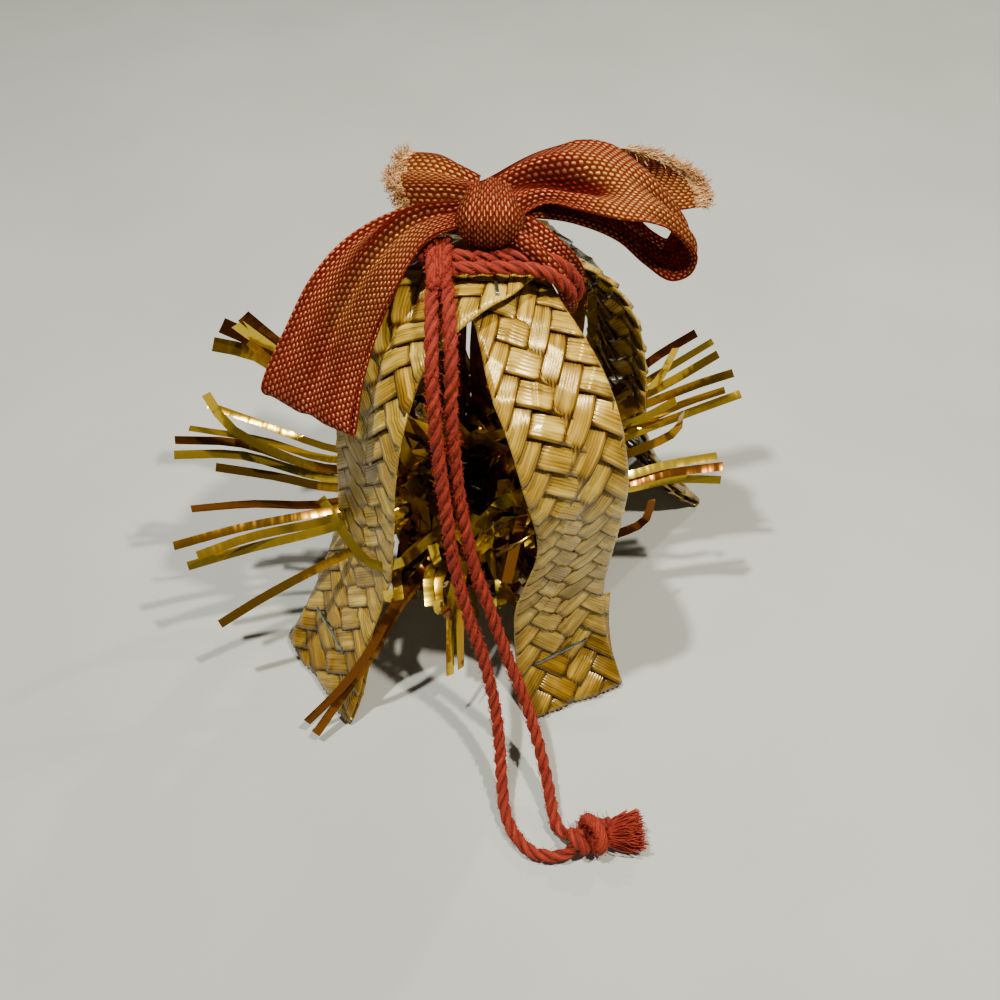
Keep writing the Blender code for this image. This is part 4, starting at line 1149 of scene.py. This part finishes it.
# The gathered ribbon's section, front to back: a folded lip, then a shaded hollow behind it
NECK_SECTION = [(2.8, -1.4), (2.6, 0.3), (1.5, 1.1), (0.6, 0.1), (-0.2, -1.4), (-1.6, -1.5),
                (-3.2, 0.3), (-4.0, 1.4)]
RIBBON_STEP = 0.6
RIBBON_ACROSS = 32
FOLD_SHADE = 1.6


def ribbon_surface(edges, pleats, folds):
    """Points, UV and shade of a ribbon between two selvedges.

    Where the selvedges stand closer than the ribbon is wide, the cloth between them is taken up
    in pleats just deep enough to keep its full width.
    """
    rough = smooth_path([pair[0] for pair in edges], 300)
    rows = round(travelled(rough)[-1] / RIBBON_STEP)
    near = smooth_path([row[0] for row in edges], rows)
    far = smooth_path([row[-1] for row in edges], rows)
    # Where a row has a point between the selvedges, the ribbon is arched through it
    ridge = smooth_path([(np.array(row[0]) + row[-1]) / 2 if len(row) == 2 else row[1]
                         for row in edges], rows)
    middle = (near + far) / 2
    arch = ridge - middle
    along = travelled(middle)
    run = unit(np.gradient(middle, axis=0))
    normal = unit(np.cross(run, unit(far - near)))
    w = np.linspace(0, 1, RIBBON_ACROSS + 1)[None, :]
    breadth_here = (np.linalg.norm(far / 2 - near / 2 + arch, axis=1)
                    + np.linalg.norm(far / 2 - near / 2 - arch, axis=1))
    spare = np.sqrt(np.maximum(RIBBON_WIDTH / breadth_here - 1, 0))
    rise = np.zeros((rows, RIBBON_ACROSS + 1))
    for share, waves, phase in pleats:
        depth = share * breadth_here / (math.pi * waves) * spare
        rise += depth[:, None] * np.sin(2 * math.pi * (waves * w + phase))
    for height, start, reach, across, breadth in folds:
        here = np.exp(-(((along - start) / reach) ** 2))[:, None]
        rise += height * here * np.exp(-(((w - across) / breadth) ** 2))
    verts = (near[:, None] + (far - near)[:, None] * w[..., None]
             + 4 * (w * (1 - w))[..., None] * arch[:, None] + normal[:, None] * rise[..., None])
    # Painted shade: the ribbon is drawn darker and redder down in its folds
    return verts, grid_uv(w * RIBBON_WIDTH, along), np.clip(-rise / FOLD_SHADE, 0, 1)


def add_ribbon(heap, edges, pleats, painted_light, folds=(), inner=None):
    """A length of ribbon with painted light through the cloth, gold-tinted over the given part of
    it, and painted shade, deep red, on a loop's inner part.
    """
    verts, uv, depth = ribbon_surface(edges, pleats, folds)
    along, across = uv[..., 1], uv[..., 0] / RIBBON_WIDTH
    share, start, end, middle, breadth = painted_light
    lit_through = share * ease((along - start) / 8 + 0.5) * (1 - ease((along - end) / 8 + 0.5))
    lit_through = lit_through * np.exp(-(((across - middle) / breadth) ** 2))
    if inner is not None:
        depth = np.maximum(depth, INNER_SHADE * ease((along - inner) / 6 + 0.5))
    heap.add(verts, grid_faces(len(verts), RIBBON_ACROSS + 1), uv, tone=lit_through, depth=depth)
    return verts


def fray(heap, verts, count, length, curl):
    """Loose warp threads standing out of a ribbon's cut end, each one wandering as it curls."""
    edge = verts[-1]
    for k in range(count):
        w = RANDOM.uniform(0, len(edge) - 1)
        i = int(min(w, len(edge) - 2))
        root = edge[i] + (edge[i + 1] - edge[i]) * (w - i)
        inward = verts[-3][i] + (verts[-3][i + 1] - verts[-3][i]) * (w - i)
        way = unit(root - inward)
        step = length * RANDOM.uniform(0.3, 1.0) / 4
        path = [inward + RANDOM.normal(0, 0.14, 3), root + RANDOM.normal(0, 0.1, 3)]
        for bend in range(4):
            way = unit(way + RANDOM.normal(0, curl, 3))
            path.append(path[-1] + way * step)
        tube(heap, smooth_path(path, 9), np.linspace(0.10, 0.06, 9), 4, tone=RANDOM.uniform(0, 1))


def ribbon_knot(heap):
    """The knot's wrap: a pleated band of ribbon round the gathered middle of the bow."""
    rows, columns = 80, 56
    a = np.linspace(0, 2 * math.pi, rows)[:, None]
    x = np.linspace(-1, 1, columns)[None, :]
    round_off = (1 - np.abs(x) ** 3.0) ** 0.5
    pleat = 1 + 0.03 * np.sin(3.2 * math.pi * x + 0.6 * np.sin(a)) + 0.02 * np.sin(8 * x + 2 * a)
    pleat = pleat - 0.12 * np.exp(-(((x + 0.36 - 0.12 * np.cos(a)) / 0.07) ** 2))
    pleat = pleat - 0.08 * np.exp(-(((x - 0.35 - 0.2 * np.cos(a)) / 0.08) ** 2))
    corners = KNOT_SQUARENESS
    square = (np.abs(np.cos(a)) ** corners + np.abs(np.sin(a)) ** corners) ** (-1 / corners)
    y = KNOT_SIZE[1] / 2 * np.cos(a) * square * round_off * pleat
    z = KNOT_SIZE[2] / 2 * np.sin(a) * square * round_off * pleat
    flare = 1 + 0.15 * np.cos(a)
    verts = np.stack(np.broadcast_arrays(KNOT_CENTRE[0] + KNOT_SIZE[0] / 2 * x / flare,
                                         KNOT_CENTRE[1] + y, KNOT_CENTRE[2] + z), axis=-1)
    around = a * (KNOT_SIZE[1] + KNOT_SIZE[2]) / 4
    uv = grid_uv(x * KNOT_SIZE[0] * 0.8, around[:, 0] * 0.75)
    # A little painted light through the cloth, as the tone
    heap.add(verts, grid_faces(rows, columns), uv, tone=0.12)


def neck_ribbon(heap):
    """The ribbon gathered lengthwise where it goes round the cage's neck."""
    path = smooth_path(NECK_WRAP + NECK_WRAP[:1], 150)[:-1]
    run = unit(np.roll(path, -1, axis=0) - np.roll(path, 1, axis=0))
    out = path - path.mean(axis=0)
    out = unit(out - run * (out * run).sum(axis=1, keepdims=True))
    wide = np.cross(run, out)
    section = smooth_path([(x, y, 0) for x, y in NECK_SECTION], 25)
    along, around = travelled(path), travelled(section)
    y = section[None, :, 1] + 0.12 * np.sin(0.5 * along[:, None] + 2.1 * around[None, :])
    verts = path[:, None] + wide[:, None] * section[None, :, :1] + out[:, None] * y[..., None]
    heap.add(verts, grid_faces(len(path), len(section), wrap_rows=True), grid_uv(around, along),
             tone=0.0)


def ribbon_bow(mat, thread):
    """The bow's loops and tails, the knot's wrap, the turn round the neck and the frayed ends."""
    bow, knot, neck, threads = Heap(), Heap(), Heap(), Heap()
    surfaces = [
        add_ribbon(bow, LEFT_LOOP, LEFT_PLEATS, LEFT_PAINTED_LIGHT, LEFT_FOLDS),
        add_ribbon(bow, RIGHT_LOOP, RIGHT_PLEATS, RIGHT_PAINTED_LIGHT, RIGHT_FOLDS, RIGHT_INNER)]
    for edges, ends in ((LEFT_TAIL, LEFT_FRAY), (RIGHT_TAIL, RIGHT_FRAY)):
        surfaces.append(add_ribbon(bow, edges, TAIL_PLEATS, TAIL_PAINTED_LIGHT))
        fray(threads, surfaces[-1], *ends)
    ribbon_knot(knot)
    neck_ribbon(neck)
    bow = bow.to_object("bow_ribbon", mat)
    wrap = knot.to_object("bow_knot", mat)
    neck = neck.to_object("neck_ribbon", mat)
    fringe = threads.to_object("ribbon_fray", thread)
    for piece in (bow, neck):
        apply_modifier(piece, "SOLIDIFY", thickness=RIBBON_THICKNESS * MM, offset=0.0)
    hand_over(bow, "ribbon_bow")
    for piece in (wrap, neck, fringe):
        hand_over(piece)


# ---------------------------------------------------------------- cord round the neck and knot
CORD_CREST = 93.3
WRAP_TURNS = [
    [(-12.6, -5.4, CORD_CREST), (-4.0, -5.2, CORD_CREST), (3.4, -5.4, CORD_CREST),
     (7.2, -5.2, 92.0), (10.0, -4.6, 89.2), (11.4, -3.4, 86.0), (9.8, -1.6, 83.0),
     (4.0, 0.4, 82.6), (-6.0, 2.2, 82.6), (-15.0, 3.4, 82.8), (-19.0, 3.6, 86.0),
     (-18.4, 3.2, 90.4), (-15.2, -1.4, 93.3)],
    [(-12.6, -2.2, CORD_CREST + 0.2), (-4.0, -2.0, CORD_CREST + 0.2), (3.6, -2.2, CORD_CREST + 0.2),
     (7.6, -2.2, 92.8), (11.0, -1.8, 90.0), (12.9, -1.1, 86.0), (11.6, 0.6, 81.6),
     (4.0, 3.0, 80.4), (-6.0, 4.6, 80.4), (-17.4, 5.0, 80.9), (-22.2, 4.4, 86.0),
     (-20.2, 4.2, 91.4), (-15.8, 1.8, 93.5)],
]
# The hitch that holds the strands is felted into one lump, with two cords over it
HITCH = [(-11.9, 0.8, 94.0), (-11.9, -1.8, 94.4), (-11.9, -4.8, 94.2), (-11.8, -7.6, 93.2),
         (-11.7, -10.0, 91.8)]
HITCH_RADII = (1.0, 1.5, 1.8, 1.8, 1.5)
HITCH_SPREAD = 1.05
HITCH_RISE = 0.5
KNOT_LINE = [(10.9, -71.6, 3.0), (12.4, -71.5, 3.5), (14.4, -71.2, 4.4), (16.8, -70.8, 4.6),
             (19.0, -70.4, 3.9), (20.6, -70.2, 3.3), (23.4, -69.9, 3.6), (27.6, -69.6, 3.9)]
KNOT_RADII = (1.5, 2.9, 4.2, 4.4, 3.5, 2.5, 3.3, 3.8)


# Loose fibres: how thick, how pale, and how near the table they may come
FIBRE = 0.06
FIBRE_TONE = 0.95
FIBRE_CLEARANCE = 0.1


def fuzz(heap, path, reach, count, length):
    """Short loose fibres standing off a cord."""
    run, side, up = frames_along(path)
    for k in RANDOM.integers(1, len(path) - 1, count):
        a = RANDOM.uniform(0, 2 * math.pi)
        out = side[k] * math.cos(a) + up[k] * math.sin(a)
        root = path[k] + out * reach * 0.85
        lean = run[k] * RANDOM.uniform(-1.3, 1.3)
        tip = root + (out * RANDOM.uniform(0.3, 0.9) + lean) * length * RANDOM.uniform(0.4, 1.0)
        bend = (root + tip) / 2 + RANDOM.normal(0, 0.12, 3)
        for point in (tip, bend):
            point[2] = max(point[2], FIBRE_CLEARANCE)
        tube(heap, smooth_path([root, bend, tip], 4), FIBRE, 3, FIBRE_TONE)


LUMP_SIDES = 33


def lump(heap, line, radii, count=40):
    """A felted lump of cord along a line, its surface wound with shallow yarns."""
    path = smooth_path(line, count)
    t = np.linspace(0, 1, count)
    size = np.interp(t, np.linspace(0, 1, len(radii)), radii)
    size = size * np.clip(np.minimum(t, 1 - t) / 0.1, 0, 1) ** 0.5
    run, side, up = frames_along(path)
    a = np.linspace(0, 2 * math.pi, LUMP_SIDES)[None, :]
    along = travelled(path)[:, None]
    wound = 1 + 0.05 * np.sin(4 * a + 1.9 * along) + 0.03 * np.sin(7 * a - 1.1 * along)
    verts = path[:, None] + spokes(side, up, a) * (size[:, None] * wound)[..., None]
    # Painted shade in the grooves between the wound yarns, as the depth
    heap.add(verts, grid_faces(count, LUMP_SIDES), grid_uv(a * 2.6, along[:, 0]),
             depth=np.clip((1.03 - wound) * 5, 0, 1))
    return path


def neck_cord(mat, fibres):
    heap = Heap()
    for k, route in enumerate(WRAP_TURNS):
        path = smooth_path(route + route[:1], 300)[:-1]
        plies(heap, path, closed=True, start=1.1 * k)
        fuzz(fibres, path, CORD / 2, 300, 1.1)
    line = lump(heap, HITCH, HITCH_RADII)
    for shift in (-HITCH_SPREAD, HITCH_SPREAD):
        plies(heap, line + (shift, 0, HITCH_RISE), start=shift)
    for radius in (1.6, 2.3):
        fuzz(fibres, line, radius, 400, 1.2)
    hand_over(heap.to_object("neck_cord", mat), "cord_neck_wrap")


# The two strands run into the knot side by side
KNOT_INLETS = [
    [(9.0, -74.2, 1.7), (11.2, -74.0, 2.0), (13.4, -73.0, 3.0), (15.4, -71.8, 4.0)],
    [(10.2, -68.2, 2.6), (11.2, -69.6, 2.7), (13.0, -70.4, 3.6), (15.4, -70.8, 4.2)],
]
# Points on the knot's line, those between which each turn of cord lies, and how far it winds
KNOT_POINTS = 60
KNOT_TURNS = 3
TURN_FROM, TURN_TO, NEXT_TURN = 10, 26, 4
TURN_WINDS = 1.3
# The tassel's fibres start at one point of the line and end past another, and how far they spread
TASSEL_FIBRES = 800
TASSEL_ROOT, TASSEL_END = 33, 48
ROOT_SPREAD, END_SPREAD = 1.9, 3.9
TASSEL_FIBRE = 0.10
TASSEL_CLEARANCE = 0.12


def end_knot(mat, fibres):
    """An overhand knot in both strands, and the untwisted ends that fan out beyond it."""
    heap = Heap()
    line = smooth_path(KNOT_LINE, KNOT_POINTS)
    numbers, t = np.arange(KNOT_POINTS), np.linspace(0, 1, KNOT_POINTS)
    radii = np.interp(t, np.linspace(0, 1, len(KNOT_RADII)), KNOT_RADII)
    run, side, up = frames_along(line)
    for inlet in KNOT_INLETS:
        plies(heap, smooth_path(inlet, 24))
    # Turns of doubled cord wind round the middle of the knot, pulled into each other
    for k in range(KNOT_TURNS):
        at = np.interp(t, [0, 1], [TURN_FROM + NEXT_TURN * k, TURN_TO + NEXT_TURN * k])
        a = 2 * math.pi * (t * TURN_WINDS + k / KNOT_TURNS)[:, None]
        out = read_at(side, numbers, at) * np.cos(a) + read_at(up, numbers, at) * np.sin(a)
        r = np.interp(at, numbers, radii) - CORD * 0.55
        turn = read_at(line, numbers, at) + r[:, None] * out
        turn[:, 2] = np.maximum(turn[:, 2], CORD / 2 + 0.1)
        plies(heap, turn, start=k)
        fuzz(fibres, turn, CORD / 2, 160, 1.3)
    for k in range(TASSEL_FIBRES):
        a = RANDOM.uniform(0, 2 * math.pi)
        spread = RANDOM.uniform(0, 1) ** 0.5
        end = RANDOM.integers(TASSEL_END, KNOT_POINTS)
        root, tip = (line[at] + (side[at] * math.cos(a) + up[at] * math.sin(a)) * spread * wide
                     for at, wide in ((TASSEL_ROOT, ROOT_SPREAD), (end, END_SPREAD)))
        tip = tip + RANDOM.normal(0, 0.3, 3)
        tip[2] = max(tip[2], TASSEL_CLEARANCE)
        middle = (root + tip) / 2 + RANDOM.normal(0, 0.3, 3)
        middle[2] = max(middle[2], TASSEL_CLEARANCE)
        tube(heap, smooth_path([root, middle, tip], 6), TASSEL_FIBRE, 4, RANDOM.uniform(0.4, 1))
    hand_over(heap.to_object("end_knot", mat), "cord_end_knot")


# ---------------------------------------------------------------- the ornament
STRAND_FIBRES = 1500
STRAND_FUZZ = 0.9
studio()
cotton = cotton_material()
straw = straw_material()
wire = wire_material()
fibres = Heap()
strand_lines = [
    hanging_strand("cord_left", STRAND_LEFT, "cord_strand_left", cotton, 0.4),
    hanging_strand("cord_right", STRAND_RIGHT, "cord_strand_right", cotton, 1.9)]
for line in strand_lines:
    fuzz(fibres, line, CORD / 2, STRAND_FIBRES, STRAND_FUZZ)
neck_cord(cotton, fibres)
end_knot(cotton, fibres)
hand_over(fibres.to_object("cord_fibres", cotton))

upper = Band("front_left", "back_right", UPPER_CROWN, UPPER_FLAPS, bulge=UPPER_BULGE,
             spread=UPPER_SPREAD)
lower = Band("front_right", "back_left", LOWER_CROWN, LOWER_FLAPS, shear=-ASKEW,
             squeeze=LOWER_SQUEEZE)
plaited_band("plait_upper", upper, "straw_band_upper", straw)
plaited_band("plait_lower", lower, "straw_band_lower", straw)
for foot in ("front_left", "front_right", "back_left", "back_right"):
    staple_wire("staple_" + foot, heading(LEGS[foot][0]) + (0, 0, 0.6), wire)
staple_wire("staple_crossing", np.array([0, 0, 1.0]), wire)
foil_garland(foil_material())
ribbon_bow(ribbon_material(), thread_material())
